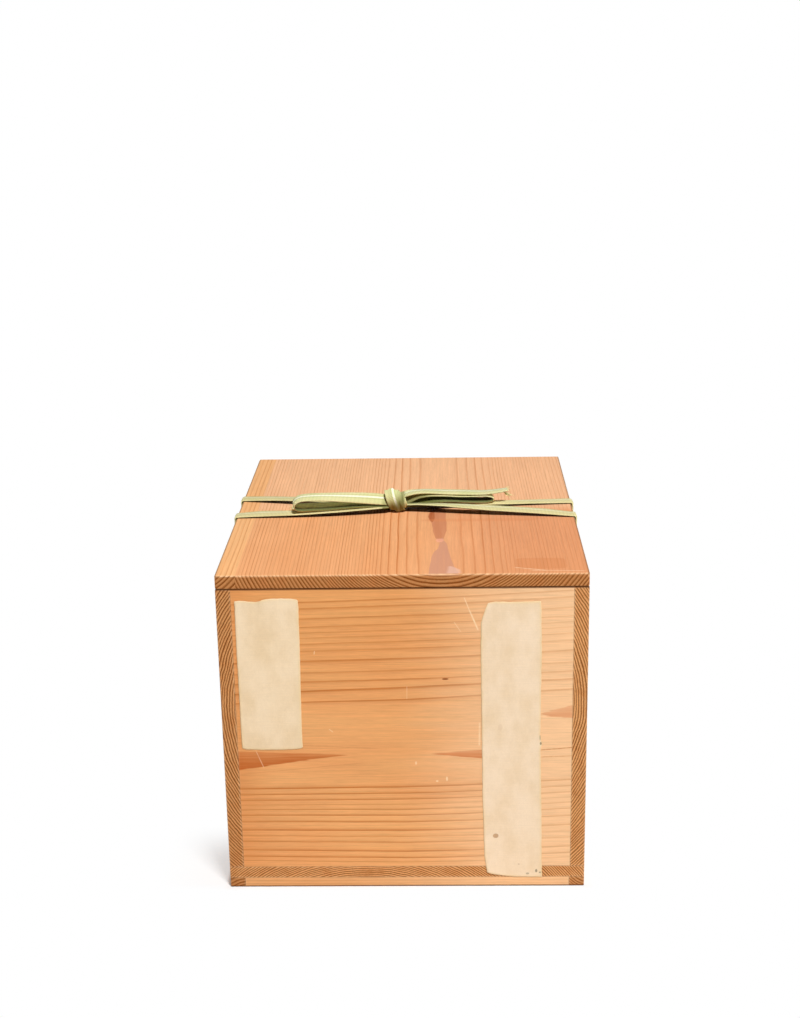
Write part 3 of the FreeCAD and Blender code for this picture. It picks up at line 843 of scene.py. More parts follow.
@dataclass(frozen=True)
class WovenCord:
    """Pale green flat cord: crosswise ribs, fine warp threads, one cream stripe, and painted light and shade
    inside the loops, under the taut runs and on the knot.
    """

    knot_x: float
    lid_top: float
    rib_pitch: float = 1.15 * MM
    threads: float = 26.0
    stripe_at: float = 0.58
    stripe_half: float = 0.07
    inner_shift: float = 2.0
    shift_margin: float = 0.2
    lid_reach: float = 141 * MM
    age_scale: float = 55.0
    fuzz_scales: tuple[float, float] = (2600.0, 60.0)
    jitter_scales: tuple[float, float] = (300.0, 3.0)
    green: Colour = srgb(228, 222, 168)
    worn_green: Colour = srgb(214, 214, 152)
    beside_stripe: Colour = srgb(176, 186, 120)
    cream: Colour = srgb(252, 250, 228)
    selvedge: Colour = srgb(226, 222, 176)
    taut_tan: Colour = srgb(224, 206, 150)
    painted_light_inside_left: Colour = srgb(245, 252, 205)
    painted_shade_inside_right: Colour = srgb(120, 116, 66)
    painted_shade_inside_edge: Colour = srgb(106, 112, 64)
    painted_shade_underside: Colour = srgb(58, 56, 26)
    painted_knot_shade: Colour = srgb(104, 104, 47)

    def material(self) -> bpy.types.Material:
        """The cord's material; its UV map runs in metres along it and from 0 to 1 across it.

        The faces inside a loop are shifted across by the inner shift and get the inside colours, which are
        painted light and shade:
        pale left of the knot, dark olive right of it, and darker towards one edge. Those under a taut run are
        shifted by twice as much:
        on the lid they get a darker painted shade, and past the lid's reach the inside colours too.
        """
        sheet = ShaderSheet("woven_cord", Specular_IOR_Level=0.04, Sheen_Weight=0.05, Sheen_Roughness=0.5)
        along, mapped, _ = sheet.split(sheet.coordinates("UV"))
        inner = mapped.math("GREATER_THAN", 0.5 * self.inner_shift + self.shift_margin)
        under = mapped.math("GREATER_THAN", 1.5 * self.inner_shift + self.shift_margin)
        across = mapped - (inner + under) * self.inner_shift
        place = sheet.coordinates("Object")
        age = sheet.noise(sheet.scaled(place, self.age_scale), 3.0)
        lengthwise, crosswise = self.fuzz_scales
        fuzz = sheet.noise(sheet.join(along * lengthwise, across * crosswise, 0.0), 2.0)
        lengthwise, crosswise = self.jitter_scales
        jitter = sheet.noise(sheet.join(along * lengthwise, across * crosswise, 0.5), 1.0) * 0.5
        rib = (along * (2 * math.pi / self.rib_pitch) + jitter).math("SINE") * 0.5 + 0.5
        thread = (across * (math.pi * self.threads) + rib * 0.6).math("SINE") * 0.5 + 0.5
        colour = sheet.mix(age.ramp(-0.2, 0.25), self.green, self.worn_green)
        off = abs(across - self.stripe_at)
        stripe = off.ramp(self.stripe_half * 1.35, self.stripe_half * 0.65)
        beside = abs(off - self.stripe_half * 2.1).ramp(self.stripe_half, self.stripe_half * 0.3) * 0.4
        colour = sheet.mix(beside, colour, self.beside_stripe)
        colour = sheet.mix(stripe * 0.9, colour, self.cream)
        colour = sheet.mix(abs(across - 0.5).ramp(0.42, 0.49) * 0.35, colour, self.selvedge)
        x, _, z = sheet.split(place)
        taut = z.ramp(self.lid_top + 9 * MM, self.lid_top + 5 * MM)
        colour = sheet.mix(taut * 0.5, colour, self.taut_tan)
        # Painted light and shade inside the loops: pale where the inside left of the knot lies in shade, dark
        # olive right of the knot, and dark towards the lit edge.
        inside = sheet.mix((x - self.knot_x).ramp(8 * MM, 14 * MM), self.painted_light_inside_left, self.painted_shade_inside_right)
        inside = sheet.mix(across.ramp(0.1, 0.48), self.painted_shade_inside_edge, inside)
        colour = sheet.mix(inner * 0.95, colour, inside)
        # Painted shade on the faces under the taut runs where they lie on the lid.
        on_lid = abs(x).ramp(self.lid_reach, self.lid_reach - 3 * MM)
        colour = sheet.mix(under * on_lid * 0.95, colour, self.painted_shade_underside)
        # Painted shade low on the knot and in the folds just to its right.
        colour = sheet.mix(self._painted_knot_shade(sheet, place), colour, self.painted_knot_shade)
        shade = rib * 0.36 + thread * 0.08 + fuzz * 0.22 + 0.74
        sheet.feed("Base Color", sheet.scaled(colour, shade))
        sheet.feed("Roughness", fuzz * 0.1 + 0.85)
        sheet.feed("Normal", sheet.bump(rib * 0.5 + thread * 0.35 + fuzz * 0.5, 0.14 * MM, 0.8))
        return sheet.material

    def _painted_knot_shade(self, sheet: ShaderSheet, place: Field) -> Field:
        """How far painted shade darkens the cord.

        It is darkest low on the knot, less so at the very foot, and reaches higher at the knot's right; the
        folds just to the right of the knot are dark too.
        """
        x, y, z = sheet.split(place)
        right = x - self.knot_x
        up = z - self.lid_top
        low = (up - right.math("MAXIMUM", 0.0)).ramp(16 * MM, 3 * MM) * up.ramp(-7 * MM, 6 * MM)
        on_knot = abs(right).ramp(11 * MM, 8 * MM) * low * 0.85
        beside = right.ramp(6 * MM, 12 * MM) * right.ramp(44 * MM, 24 * MM)
        folds = beside * up.ramp(15.5 * MM, 12.5 * MM) * y.ramp(-10 * MM, -7 * MM) * 0.75
        return on_knot.math("MAXIMUM", folds)


@dataclass(frozen=True)
class CordSection:
    """The flat section of the cord, which its ribs swell and pinch along its length."""

    width: float = 12 * MM
    thickness: float = 2.0 * MM
    rib_pitch: float = WovenCord.rib_pitch
    rib_share: float = 0.13
    rib_power: int = 6
    edge_share: float = 0.012
    fold_waves: float = 1.5
    steps_per_rib: int = 4
    across_steps: int = 9
    squareness: float = 3.0

    def outline(self) -> tuple[np.ndarray, np.ndarray]:
        """Across and out places of the closed outline, in half widths and half thicknesses.

        Across is the cosine of an even turn, and out is what a superellipse leaves, positive on the way there
        and negative on the way back.
        """
        turn = np.linspace(0, 2 * np.pi, 2 * self.across_steps, endpoint=False)
        across = np.cos(turn)
        rest = np.clip(1 - np.abs(across) ** self.squareness, 0, 1) ** (1 / self.squareness)
        return across, rest * np.sign(np.sin(turn) + 1e-12)


@dataclass(frozen=True)
class Route:
    """A cord's route: control points of one smooth spline, and how far the cord leans at each."""

    points: tuple[Place3, ...]
    leans: tuple[float, ...] = ()
    behind: Place3 = (0.0, 1.0, 0.0)
    resolution: int = 40

    def centreline(self, name: str) -> tuple[np.ndarray, np.ndarray]:
        """Points read from the route's spline, and each one's share of the way through the spline."""
        curve = bpy.data.curves.new(name, "CURVE")
        curve.dimensions = "3D"
        spline = curve.splines.new("NURBS")
        spline.points.add(len(self.points) - 1)
        for control, point in zip(spline.points, self.points, strict=True):
            control.co = (*point, 1.0)
        spline.order_u = 3
        spline.use_endpoint_u = True
        spline.resolution_u = self.resolution
        holder = bpy.data.objects.new(name, curve)
        mesh = bpy.data.meshes.new_from_object(holder)
        flat = np.zeros(len(mesh.vertices) * 3, np.float32)
        mesh.vertices.foreach_get("co", flat)
        bpy.data.objects.remove(holder)
        bpy.data.meshes.remove(mesh)
        bpy.data.curves.remove(curve)
        points = flat.reshape(-1, 3).astype(float)
        return points, np.linspace(0, 1, len(points))

    def lean_at(self, share: np.ndarray) -> np.ndarray:
        """The lean in radians at shares of the way through the spline.

        Control point i of n pulls most at (i - 0.5) / (n - 2) of the way.
        """
        leans = self.leans or (0.0,) * len(self.points)
        places = np.clip((np.arange(len(leans)) - 0.5) / (len(leans) - 2), 0, 1)
        return np.radians(np.interp(share, places, leans))


@dataclass(frozen=True)
class Ribbon:
    """A length of the flat cord along a route.

    A narrow ribbon shows only its share of the woven pattern. The inner side is 1 where the section's out
    side is the inside of a loop and -1 where its other side is, 2 where the out side is under a taut run, and
    0 elsewhere; the faces that it picks get the cord's painted light and shade.
    """

    name: str
    route: Route
    section: CordSection = field(default_factory=CordSection)
    fold: float = 0.0
    width_share: float = 1.0
    inner_side: int = 0

    def spine(self) -> tuple[np.ndarray, np.ndarray, np.ndarray]:
        """Evenly spaced points along the route, with their distance along it and share of the spline."""
        points, share = self.route.centreline(self.name)
        shortest, fewest = 1e-7, 8
        steps = np.linalg.norm(np.diff(points, axis=0), axis=1)
        keep = np.concatenate([[True], steps > shortest])
        points, share = points[keep], share[keep]
        run = np.concatenate([[0], np.cumsum(np.linalg.norm(np.diff(points, axis=0), axis=1))])
        count = max(fewest, int(run[-1] / self.section.rib_pitch * self.section.steps_per_rib))
        even = np.linspace(0, run[-1], count + 1)
        placed = np.stack([np.interp(even, run, points[:, axis]) for axis in range(3)], axis=1)
        return placed, even, np.interp(even, run, share)

    def build(self, material: bpy.types.Material) -> bpy.types.Object:
        """The ribbon's closed mesh.

        At each point of the spine the cord's width points behind, leant up by the route's lean and squared to
        the spine; out is square to both. A vertex is the spine's point plus its across place times the half
        width and its out place times the half thickness, both of which a cosine along the length swells into
        ribs; the fold pushes the section out by a wave across it.
        """
        section = self.section
        spine, distance, share = self.spine()
        ahead = np.gradient(spine, axis=0)
        ahead /= np.linalg.norm(ahead, axis=1)[:, None]
        lean = self.route.lean_at(share)[:, None]
        width_way = np.array(self.route.behind) * np.cos(lean) + np.array(UPWARD) * np.sin(lean)
        width_way = width_way - ahead * (width_way * ahead).sum(1)[:, None]
        width_way /= np.linalg.norm(width_way, axis=1)[:, None]
        out = np.cross(ahead, width_way)
        across, rise = section.outline()
        rib = np.cos(distance * (2 * np.pi / section.rib_pitch))[:, None]
        half_width = section.width / 2 * self.width_share
        half_depth = section.thickness / 2
        swell = 1 + section.rib_share * rib * (1 - np.abs(across) ** section.rib_power)
        side = across * half_width * (1 + section.edge_share * rib)
        lift = rise * half_depth * swell + self.fold * np.cos(across * np.pi * section.fold_waves)
        points = spine[:, None] + width_way[:, None] * side[..., None] + out[:, None] * lift[..., None]
        rows, columns = points.shape[:2]
        faces = grid_faces(rows, columns, wrapped=True)
        closed = np.append(across, across[0]) / 2 + 0.5
        corners = grid_corners(distance, closed).reshape(rows - 1, columns, 4, 2)
        corners[..., 1] *= self.width_share
        shaded = np.sign(rise + np.roll(rise, -1)) == np.sign(self.inner_side)
        corners[..., 1] += shaded[:, None] * abs(self.inner_side) * WovenCord.inner_shift
        made = mesh_object(self.name, points.reshape(-1, 3), faces, corners.reshape(-1, 2))
        self._cap(made, rows, columns)
        made.data.materials.append(material)
        return made

    @staticmethod
    def _cap(made: bpy.types.Object, rows: int, columns: int) -> None:
        """Closes both ends of a tube whose rows of vertices are its sections."""
        mesh = made.data
        start = len(mesh.loops)
        first = list(range(columns))[::-1]
        last = list(range((rows - 1) * columns, rows * columns))
        mesh.loops.add(2 * columns)
        mesh.polygons.add(2)
        for offset, ring in enumerate((first, last)):
            mesh.polygons[-2 + offset].loop_start = start + offset * columns
            for corner, vertex in enumerate(ring):
                mesh.loops[start + offset * columns + corner].vertex_index = vertex
        mesh.update(calc_edges=True)
        mesh.validate()


@dataclass(frozen=True)
class Fray:
    """The loose threads at a cut end of the cord."""

    name: str
    start: Place3
    way: Place3
    seed: int
    reach: float
    count: int
    across: float
    half_width: float = 5.6 * MM
    thickness: float = 0.17 * MM
    scatter: float = 0.3 * MM
    shortest: float = 0.35
    tapering: float = 0.75
    drift_sideways: float = 0.45
    drift_up: tuple[float, float] = (0.12, 0.28)
    bend_sideways: float = 0.12
    bend_up: float = 0.1
    bend_turn: float = 7
    steps: int = 9
    sides: int = 5

    def build(self, material: bpy.types.Material) -> bpy.types.Object:
        """One mesh of thin tapered threads that stay above the lid.

        Each thread starts at a random place across the cord's width and runs its length along the way, plus a
        random sideways and upward drift that grows with the square of the share run and a bend that is a sine
        of it; it thins towards its tip.
        """
        rng = np.random.default_rng(self.seed)
        way = np.array(self.way) / np.linalg.norm(self.way)
        side = np.cross(UPWARD, way)
        side /= np.linalg.norm(side)
        up = np.cross(way, side)
        share = np.linspace(0, 1, self.steps)[:, None]
        turns = np.linspace(0, 2 * np.pi, self.sides, endpoint=False)
        ring = np.cos(turns)[:, None] * side + np.sin(turns)[:, None] * up
        radius = self.thickness / 2 * (1 - self.tapering * share)
        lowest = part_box("lid_main_board")[1].z + self.thickness
        threads = []
        for _ in range(self.count):
            length = self.reach * rng.uniform(self.shortest, 1.0)
            root = np.array(self.start) + side * rng.uniform(-1, 1) * self.half_width
            root = root + up * rng.normal(0, self.scatter)
            drift = side * rng.normal(0, self.drift_sideways) + up * rng.normal(*self.drift_up)
            bend = side * rng.normal(0, self.bend_sideways) + up * rng.normal(0, self.bend_up)
            line = root + (way * share + drift * share**2 + bend * np.sin(share * self.bend_turn)) * length
            line[:, 2] = np.maximum(line[:, 2], lowest)
            threads.append(line[:, None] + ring[None] * radius[..., None])
        points = np.concatenate(threads).reshape(-1, 3)
        first = grid_faces(self.steps, self.sides, wrapped=True)
        faces = np.concatenate([first + number * self.steps * self.sides for number in range(self.count)])
        corners = np.tile((WovenCord.rib_pitch / 4, self.across), (faces.size, 1))
        made = mesh_object(self.name, points, faces, corners)
        made.data.materials.append(material)
        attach(made, "lid")
        return made


# Sub-assemblies


@dataclass
class BoxBody:
    """The four walls, the bottom board, the foot frame and their pegs."""

    front_lines_below: tuple[float, ...] = (
        70.1 * MM, 64.9 * MM, 59.6 * MM, 55.2 * MM, 50.8 * MM, 45.5 * MM, 39.3 * MM, 31.4 * MM, 26.0 * MM,
        20.9 * MM, 12.8 * MM, 7.2 * MM, 3.4 * MM,
    )
    front_lines_above: tuple[float, ...] = (
        146.5 * MM, 156.9 * MM, 163.6 * MM, 171.0 * MM, 181.0 * MM, 189.3 * MM, 195.1 * MM, 200.2 * MM,
        204.3 * MM, 209.2 * MM, 216.3 * MM, 224.8 * MM, 229.6 * MM,
    )

    def finishes(self) -> dict[str, Cedar]:
        """The wood of each board, by node."""
        low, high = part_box("front_board")
        # Painted shadow of the gap under the lid, along the top of each wall.
        gap_shadow = (ShadeLine(2, high.z, 1.1 * MM, 0.85),)
        # Painted contact shadow where the foot rails stand on the floor.
        foot_shadow = (ShadeLine(2, 0.0, 1.9 * MM, 0.8),)
        front = Cedar(
            "front_board_cedar", Grain.BOARD_ACROSS_FRONT,
            SawnRings(low.z, high.z - low.z, 104 * MM, self.front_lines_below, self.front_lines_above),
            tints=(
                Fade(120 * MM, 256 * MM, srgb(224, 152, 86), 0.4, crosswise=True),
                Fade(-98 * MM, -140 * MM, srgb(220, 140, 78), 0.5),
                Fade(-15 * MM, 112 * MM, srgb(247, 200, 153), 0.95),
            ),
            marks=self._front_marks(low.z), marked_face=low.y, wear=0.1, shade_lines=gap_shadow,
        )
        side = CedarTone(end_early=srgb(212, 150, 94), end_late=srgb(120, 64, 22))
        # Painted light: the right side board and the bottom board get lighter end grain than the left side
        # board, as if lit more.
        lit_side = CedarTone(end_early=srgb(224, 162, 104), end_late=srgb(130, 74, 30))
        left = Cedar(
            "left_side_cedar", Grain.BOARD_DOWN_SIDE,
            RoundRings(158 * MM, -4 * MM, ((0.0, 2.4 * MM), (0.03, 2.1 * MM)), drift=0.015, wander=1.8 * MM),
            tone=side, wear=0.3, shade_lines=gap_shadow,
        )
        right = Cedar(
            "right_side_cedar", Grain.BOARD_DOWN_SIDE,
            RoundRings(160 * MM, 4 * MM, ((0.0, 2.2 * MM), (0.04, 2.0 * MM)), drift=-0.012, wander=1.8 * MM),
            tone=lit_side, wear=0.3, shade_lines=gap_shadow,
        )
        back = Cedar(
            "back_board_cedar", Grain.BOARD_ACROSS_FRONT,
            RoundRings(122 * MM, 96 * MM, ((0.0, 3.1 * MM),), drift=0.02, wander=2.6 * MM),
            wear=0.1, shade_lines=gap_shadow,
        )
        bottom = Cedar(
            "bottom_board_cedar", Grain.FLAT_FRONT_TO_BACK,
            RoundRings(-32 * MM, -118 * MM, ((0.0, 1.7 * MM),), drift=0.01),
            tone=lit_side, wear=0.25,
        )
        rail = CedarTone(early=srgb(229, 171, 115), late=srgb(204, 130, 73), blush=srgb(226, 161, 102))
        front_rail = Cedar(
            "front_rail_cedar", Grain.BOARD_ACROSS_FRONT,
            RoundRings(-0.2, -60 * MM, ((0.0, 2.1 * MM),), drift=0.002, wander=0.5 * MM, uneven=0.5),
            tone=rail, wear=0.25, shade_lines=foot_shadow, tints=(Fade(-60 * MM, 90 * MM, srgb(250, 204, 156), 0.6),),
        )
        block = CedarTone(end_early=srgb(192, 132, 80), end_late=srgb(130, 72, 30))
        # Painted light: the right foot rail gets lighter end grain than the left one, as if lit more.
        lit_block = CedarTone(end_early=srgb(206, 146, 92), end_late=srgb(142, 82, 36))
        left_rail = Cedar(
            "left_rail_cedar", Grain.BOARD_DOWN_SIDE, RoundRings(-14 * MM, -128 * MM, ((0.0, 2.6 * MM),)),
            tone=block, wear=0.2, shade_lines=foot_shadow,
        )
        right_rail = Cedar(
            "right_rail_cedar", Grain.BOARD_DOWN_SIDE, RoundRings(24 * MM, 150 * MM, ((0.0, 2.1 * MM),)),
            tone=lit_block, wear=0.2, shade_lines=foot_shadow,
        )
        return {
            "front_board": front, "back_board": back, "left_side_board": left, "right_side_board": right,
            "bottom_board": bottom, "front_foot_rail": front_rail, "back_foot_rail": front_rail,
            "left_foot_rail": left_rail, "right_foot_rail": right_rail,
        }

    @staticmethod
    def _front_marks(base: float) -> tuple[Mark, ...]:
        """The flames, scratches, bleached end and small spots of the front board; base is its lower edge."""
        pale = srgb(252, 220, 176)
        flame = srgb(188, 92, 34)
        thin = srgb(206, 134, 82)
        return (
            Flame(-42 * MM, base + 98.6 * MM, -88 * MM, 8.4 * MM, 4.4 * MM, flame, 0.82),
            Flame(
                20 * MM, base + 99.2 * MM, 40 * MM, 3.9 * MM, 0.4 * MM, srgb(208, 118, 66), 0.8,
                growth=0.8, ragged=0.9 * MM, stop=1.6,
            ),
            Flame(
                106 * MM, base + 133 * MM, 25 * MM, 5.6 * MM, -1.6 * MM, srgb(222, 144, 96), 0.75,
                growth=0.7, ragged=2.4 * MM,
            ),
            Scratch((106 * MM, base + 102 * MM), (134 * MM, base + 104.3 * MM), 0.7 * MM, thin, 1.0),
            Scratch((106 * MM, base + 96 * MM), (134 * MM, base + 97 * MM), 0.6 * MM, thin, 0.8),
            Scratch((-134 * MM, base + 110 * MM), (-20 * MM, base + 104 * MM), 0.5 * MM, thin, 0.5),
            Scratch((-134 * MM, base + 82 * MM), (-30 * MM, base + 92 * MM), 0.5 * MM, thin, 0.45),
            Scratch((47.3 * MM, base + 230 * MM), (51.8 * MM, base + 218 * MM), 0.55 * MM, pale, 0.8),
            Scratch((51.5 * MM, base + 219 * MM), (58 * MM, base + 203 * MM), 0.9 * MM, pale, 0.95),
            Scratch((39.5 * MM, base + 210 * MM), (44.8 * MM, base + 201.7 * MM), 0.5 * MM, pale, 0.6),
            Scratch((-116.8 * MM, base + 102.6 * MM), (-111.1 * MM, base + 87.8 * MM), 0.55 * MM, pale, 0.5),
            Scratch((-68.4 * MM, base + 184 * MM), (-68.0 * MM, base + 187 * MM), 0.5 * MM, pale, 0.8),
            Scratch((-58.8 * MM, base + 121 * MM), (-55.6 * MM, base + 118.4 * MM), 0.5 * MM, pale, 0.8),
            Scratch((2.5 * MM, base + 146 * MM), (2.7 * MM, base + 157 * MM), 0.4 * MM, pale, 0.5),
            Scratch((58.6 * MM, base + 106 * MM), (58.9 * MM, base + 126 * MM), 1.0 * MM, pale, 0.7),
            Blotch(32.4 * MM, base + 162.8 * MM, 2.6 * MM, 0.8 * MM, srgb(140, 76, 36), 0.9),
            Blotch(33.1 * MM, base + 77.6 * MM, 0.8 * MM, 2.2 * MM, pale, 0.7),
            Blotch(25.4 * MM, base + 75.6 * MM, 1.2 * MM, 0.8 * MM, pale, 0.7),
            Blotch(8.9 * MM, base + 91.4 * MM, 0.8 * MM, 1.6 * MM, pale, 0.6),
        )

    def dress(self) -> None:
        """Puts the wood on every board of the box, and split wood on its pegs."""
        for node, cedar in self.finishes().items():
            cedar.dress(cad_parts[node], edges=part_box(node))
            log.info("dressed %s as %s", node, cedar.name)
        dress_pegs(
            {
                "left_corner_pegs": Grain.PEG_SIDEWAYS, "right_corner_pegs": Grain.PEG_SIDEWAYS,
                "bottom_board_pegs": Grain.PEG_UPRIGHT, "foot_rail_pegs": Grain.PEG_UPRIGHT,
            }
        )


def dress_pegs(grains: Mapping[str, Grain]) -> None:
    """Gives each row of pegs a split hardwood whose fibres run along the pegs."""
    tone = CedarTone(
        early=srgb(206, 160, 104), late=srgb(178, 128, 78), blush=srgb(198, 148, 94),
        end_early=srgb(178, 128, 80), end_late=srgb(128, 84, 48),
    )
    rings = RoundRings(0.0, 0.0, ((0.0, 0.8 * MM),))
    for node, grain in grains.items():
        wood = Cedar(f"{node}_wood", grain, rings, tone=tone, wear=0.0, grime=0.0)
        wood.dress(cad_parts[node], edges=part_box(node))
        log.info("dressed %s", node)


@dataclass
class LiftOffLid:
    """The lid's wide board, its narrow edge strip, the battens under it and their pegs."""

    def dress(self) -> None:
        """Puts the wood on the lid."""
        end_early, end_late = srgb(194, 132, 79), srgb(130, 70, 26)
        tone = CedarTone(srgb(242, 178, 126), srgb(200, 120, 66), end_early, end_late, srgb(236, 166, 112))
        strip_tone = CedarTone(
            srgb(246, 187, 130), srgb(212, 138, 80), end_early, end_late, srgb(242, 178, 118),
        )
        edges = low, high = self._whole_lid()
        top = high.z
        # Painted shadow of the gap under the lid, and painted shade along the lid's left and right top edges.
        shade_lines = (
            ShadeLine(2, low.z, 0.7 * MM, 0.5), ShadeLine(0, low.x, 1.8 * MM, 0.6, 2, top),
            ShadeLine(0, high.x, 1.8 * MM, 0.6, 2, top),
        )
        main = Cedar(
            "lid_board_cedar", Grain.FLAT_FRONT_TO_BACK,
            RoundRings(
                27 * MM, top + 75.5 * MM, ((0.0, 3.0 * MM), (90 * MM, 1.95 * MM), (124 * MM, 2.8 * MM)),
                drift=-0.006, wander=0.9 * MM, uneven=0.5, squeeze=0.1,
            ),
            tone=tone, tints=(
                Fade(-10 * MM, 95 * MM, srgb(222, 150, 106), 0.8, crosswise=True),
                # Painted sheen: the lid is paler behind the cord, as if glossed by light from behind.
                Fade(-14 * MM, 10 * MM, srgb(248, 194, 149), 0.8, late_share=0.4),
            ),
            marks=self._top_marks(), marked_face=top, wear=0.7, worn_above=top - 3 * MM, grime=0.0,
            shade_lines=shade_lines, late_start=0.5, soft_share=0.3,
        )
        strip = Cedar(
            "lid_strip_cedar", Grain.FLAT_FRONT_TO_BACK,
            RoundRings(-172 * MM, top + 34 * MM, ((0.0, 3.2 * MM),), wander=0.8 * MM),
            tone=strip_tone, wear=0.7, worn_above=top - 3 * MM, grime=0.0, shade_lines=shade_lines, line_strength=0.8,
        )
        main.dress(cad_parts["lid_main_board"], edges=edges)
        strip.dress(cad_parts["lid_edge_strip"], edges=edges)
        heart = 100 * MM, 200 * MM
        across = Cedar("lid_cross_batten_cedar", Grain.FLAT_ACROSS, RoundRings(*heart, ((0.0, 2.2 * MM),)))
        along = Cedar(
            "lid_side_batten_cedar", Grain.FLAT_FRONT_TO_BACK, RoundRings(*heart, ((0.0, 2.4 * MM),)),
        )
        for node, wood in (
            ("lid_front_batten", across), ("lid_back_batten", across),
            ("lid_left_batten", along), ("lid_right_batten", along),
        ):
            wood.dress(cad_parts[node], edges=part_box(node))
            log.info("dressed %s as %s", node, wood.name)
        dress_pegs({"lid_batten_pegs": Grain.PEG_UPRIGHT})

    @staticmethod
    def _whole_lid() -> tuple[Vector, Vector]:
        """The lowest and highest corner of the two boards together."""
        main_low, main_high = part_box("lid_main_board")
        strip_low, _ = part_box("lid_edge_strip")
        return Vector((strip_low.x, main_low.y, main_low.z)), main_high

    @staticmethod
    def _top_marks() -> tuple[Mark, ...]:
        """The brown figure, its dark edge and pale foot, two darker patches and the scratches."""
        return (
            Fade(-60 * MM, -170 * MM, srgb(230, 156, 102), 0.25),
            Figure(
                (
                    (12, 27.0, 29.0), (1, 22.7, 33.8), (-7, 21.0, 34.2), (-21, 19.6, 34.5),
                    (-30, 20.7, 34.5), (-40, 22.6, 35.1), (-59, 23.7, 34.7), (-70, 24.7, 33.5),
                    (-77, 25.5, 32.5), (-86, 28.4, 31.3),
                ),
                srgb(204, 132, 94), 0.85,
            ),
            Figure(
                ((7, 22.7, 29.6), (-7, 21.0, 24.8), (-21, 19.4, 24.9), (-30, 20.5, 24.6), (-36, 22.6, 23.4)),
                srgb(168, 84, 40), 0.7, 1.6 * MM,
            ),
            Figure(
                (
                    (-78, 30.6, 31.6), (-85, 29.8, 32.6), (-93, 29.0, 34.9), (-105, 27.7, 35.7),
                    (-114, 24.2, 36.4), (-124, 22.6, 37.5), (-139, 21.9, 38.9), (-148, 21.1, 40.0),
                    (-165.2, 20.6, 43.6),
                ),
                srgb(208, 148, 120), 0.8,
            ),
            Figure(
                ((-80, 26.5, 31.5), (-84, 26.0, 32.5), (-89, 27.0, 31.0)), srgb(244, 172, 140), 0.7, 1.4 * MM,
            ),
            Figure(
                ((-147, 36.1, 38.0), (-155, 35.3, 44.4), (-163, 34.5, 45.1)),
                srgb(236, 192, 170), 0.6, 3 * MM,
            ),
            Blotch(-142 * MM, 107 * MM, 13 * MM, 20 * MM, srgb(204, 122, 68), 0.3, square=6.0),
            Blotch(-31 * MM, 62 * MM, 4 * MM, 50 * MM, srgb(220, 136, 84), 0.3, square=4.0),
            Scratch((-151 * MM, 86 * MM), (-158 * MM, 110 * MM), 0.9 * MM, srgb(250, 212, 172), 0.9),
            Scratch((-158 * MM, 98 * MM), (-160 * MM, 140 * MM), 0.9 * MM, srgb(250, 212, 172), 0.8),
        )


@dataclass
class PaperLabels:
    """The two bare paper labels on the front."""

    def build(self) -> None:
        """Pastes both labels."""
        speck, rust = srgb(128, 112, 84), srgb(186, 134, 84)
        left = PaperLabel(
            "left_label_paper", "left_paper_label", 5,
            low_edge=(
                (-127.4, 123.4), (-124.6, 122.4), (-113.6, 121.8), (-97.8, 121.8), (-85.2, 122.3),
                (-81.3, 122.7), (-79.6, 124.1),
            ),
            top_edge=(
                (-128.0, 246.4), (-123.5, 247.2), (-117.4, 246.3), (-112.1, 245.9), (-108.2, 246.6),
                (-106.6, 247.6), (-100.5, 248.4), (-92.8, 248.5), (-85.2, 248.4), (-80.7, 247.5),
                (-79.0, 246.0),
            ),
            left_edge=((-127.4, 122.0), (-127.7, 130.5), (-127.8, 164.6), (-128.1, 206.5), (-128.0, 246.0)),
            right_edge=(
                (-79.8, 124.0), (-80.0, 130.0), (-79.8, 164.0), (-79.2, 206.0), (-79.1, 239.0),
                (-79.3, 246.0),
            ),
            finish=AgedPaper("left_label_aged_paper", srgb(246, 221, 186), srgb(236, 208, 168)),
            curls=((0.42, 1.0, 0.5 * MM, 3 * MM), (0.0, 1.0, 0.35 * MM, 4 * MM)),
        )
        right = PaperLabel(
            "right_label_paper", "right_paper_label", 8,
            low_edge=((60.1, 12.6), (66.0, 11.0), (73.4, 9.6), (83.0, 8.7), (99.1, 8.4), (108.7, 8.1)),
            top_edge=((60.1, 243.6), (65.8, 244.7), (82.2, 244.3), (97.3, 244.6), (105.7, 244.8)),
            left_edge=(
                (64.6, 9.0), (63.8, 14.7), (62.6, 23.7), (61.8, 50.6), (61.1, 77.0), (60.3, 163.0),
                (59.8, 205.0), (60.1, 228.1), (62.9, 238.0), (65.8, 244.7),
            ),
            right_edge=(
                (108.7, 9.0), (108.3, 23.5), (107.6, 77.0), (106.4, 120.0), (107.3, 126.0), (106.2, 134.0),
                (106.4, 163.0), (106.8, 204.7), (106.1, 237.5), (105.7, 244.8),
            ),
            finish=AgedPaper(
                "right_label_aged_paper",
                stains=(
                    Blotch(45.5 * MM, 71.5 * MM, 2.2 * MM, 2.4 * MM, rust, 0.7),
                    Blotch(14 * MM, 104 * MM, 1.6 * MM, 1.0 * MM, speck, 0.75),
                    Blotch(11.5 * MM, 97 * MM, 0.9 * MM, 1.4 * MM, speck, 0.5),
                    Blotch(12.5 * MM, 107 * MM, 0.8 * MM, 1.0 * MM, speck, 0.6),
                    Blotch(20 * MM, 90 * MM, 0.7 * MM, 0.8 * MM, rust, 0.4),
                    Blotch(126 * MM, 106.6 * MM, 1.2 * MM, 0.8 * MM, speck, 0.8),
                    Blotch(131 * MM, 106 * MM, 2.4 * MM, 0.6 * MM, speck, 0.4),
                    Blotch(140 * MM, 75 * MM, 3 * MM, 2 * MM, rust, 0.14),
                ),
            ),
            curls=((0.0, 0.96, 0.3 * MM, 6 * MM), (0.08, 0.0, 0.5 * MM, 5 * MM)),
        )
        for label in (left, right):
            label.build()
            log.info("pasted %s", label.name)


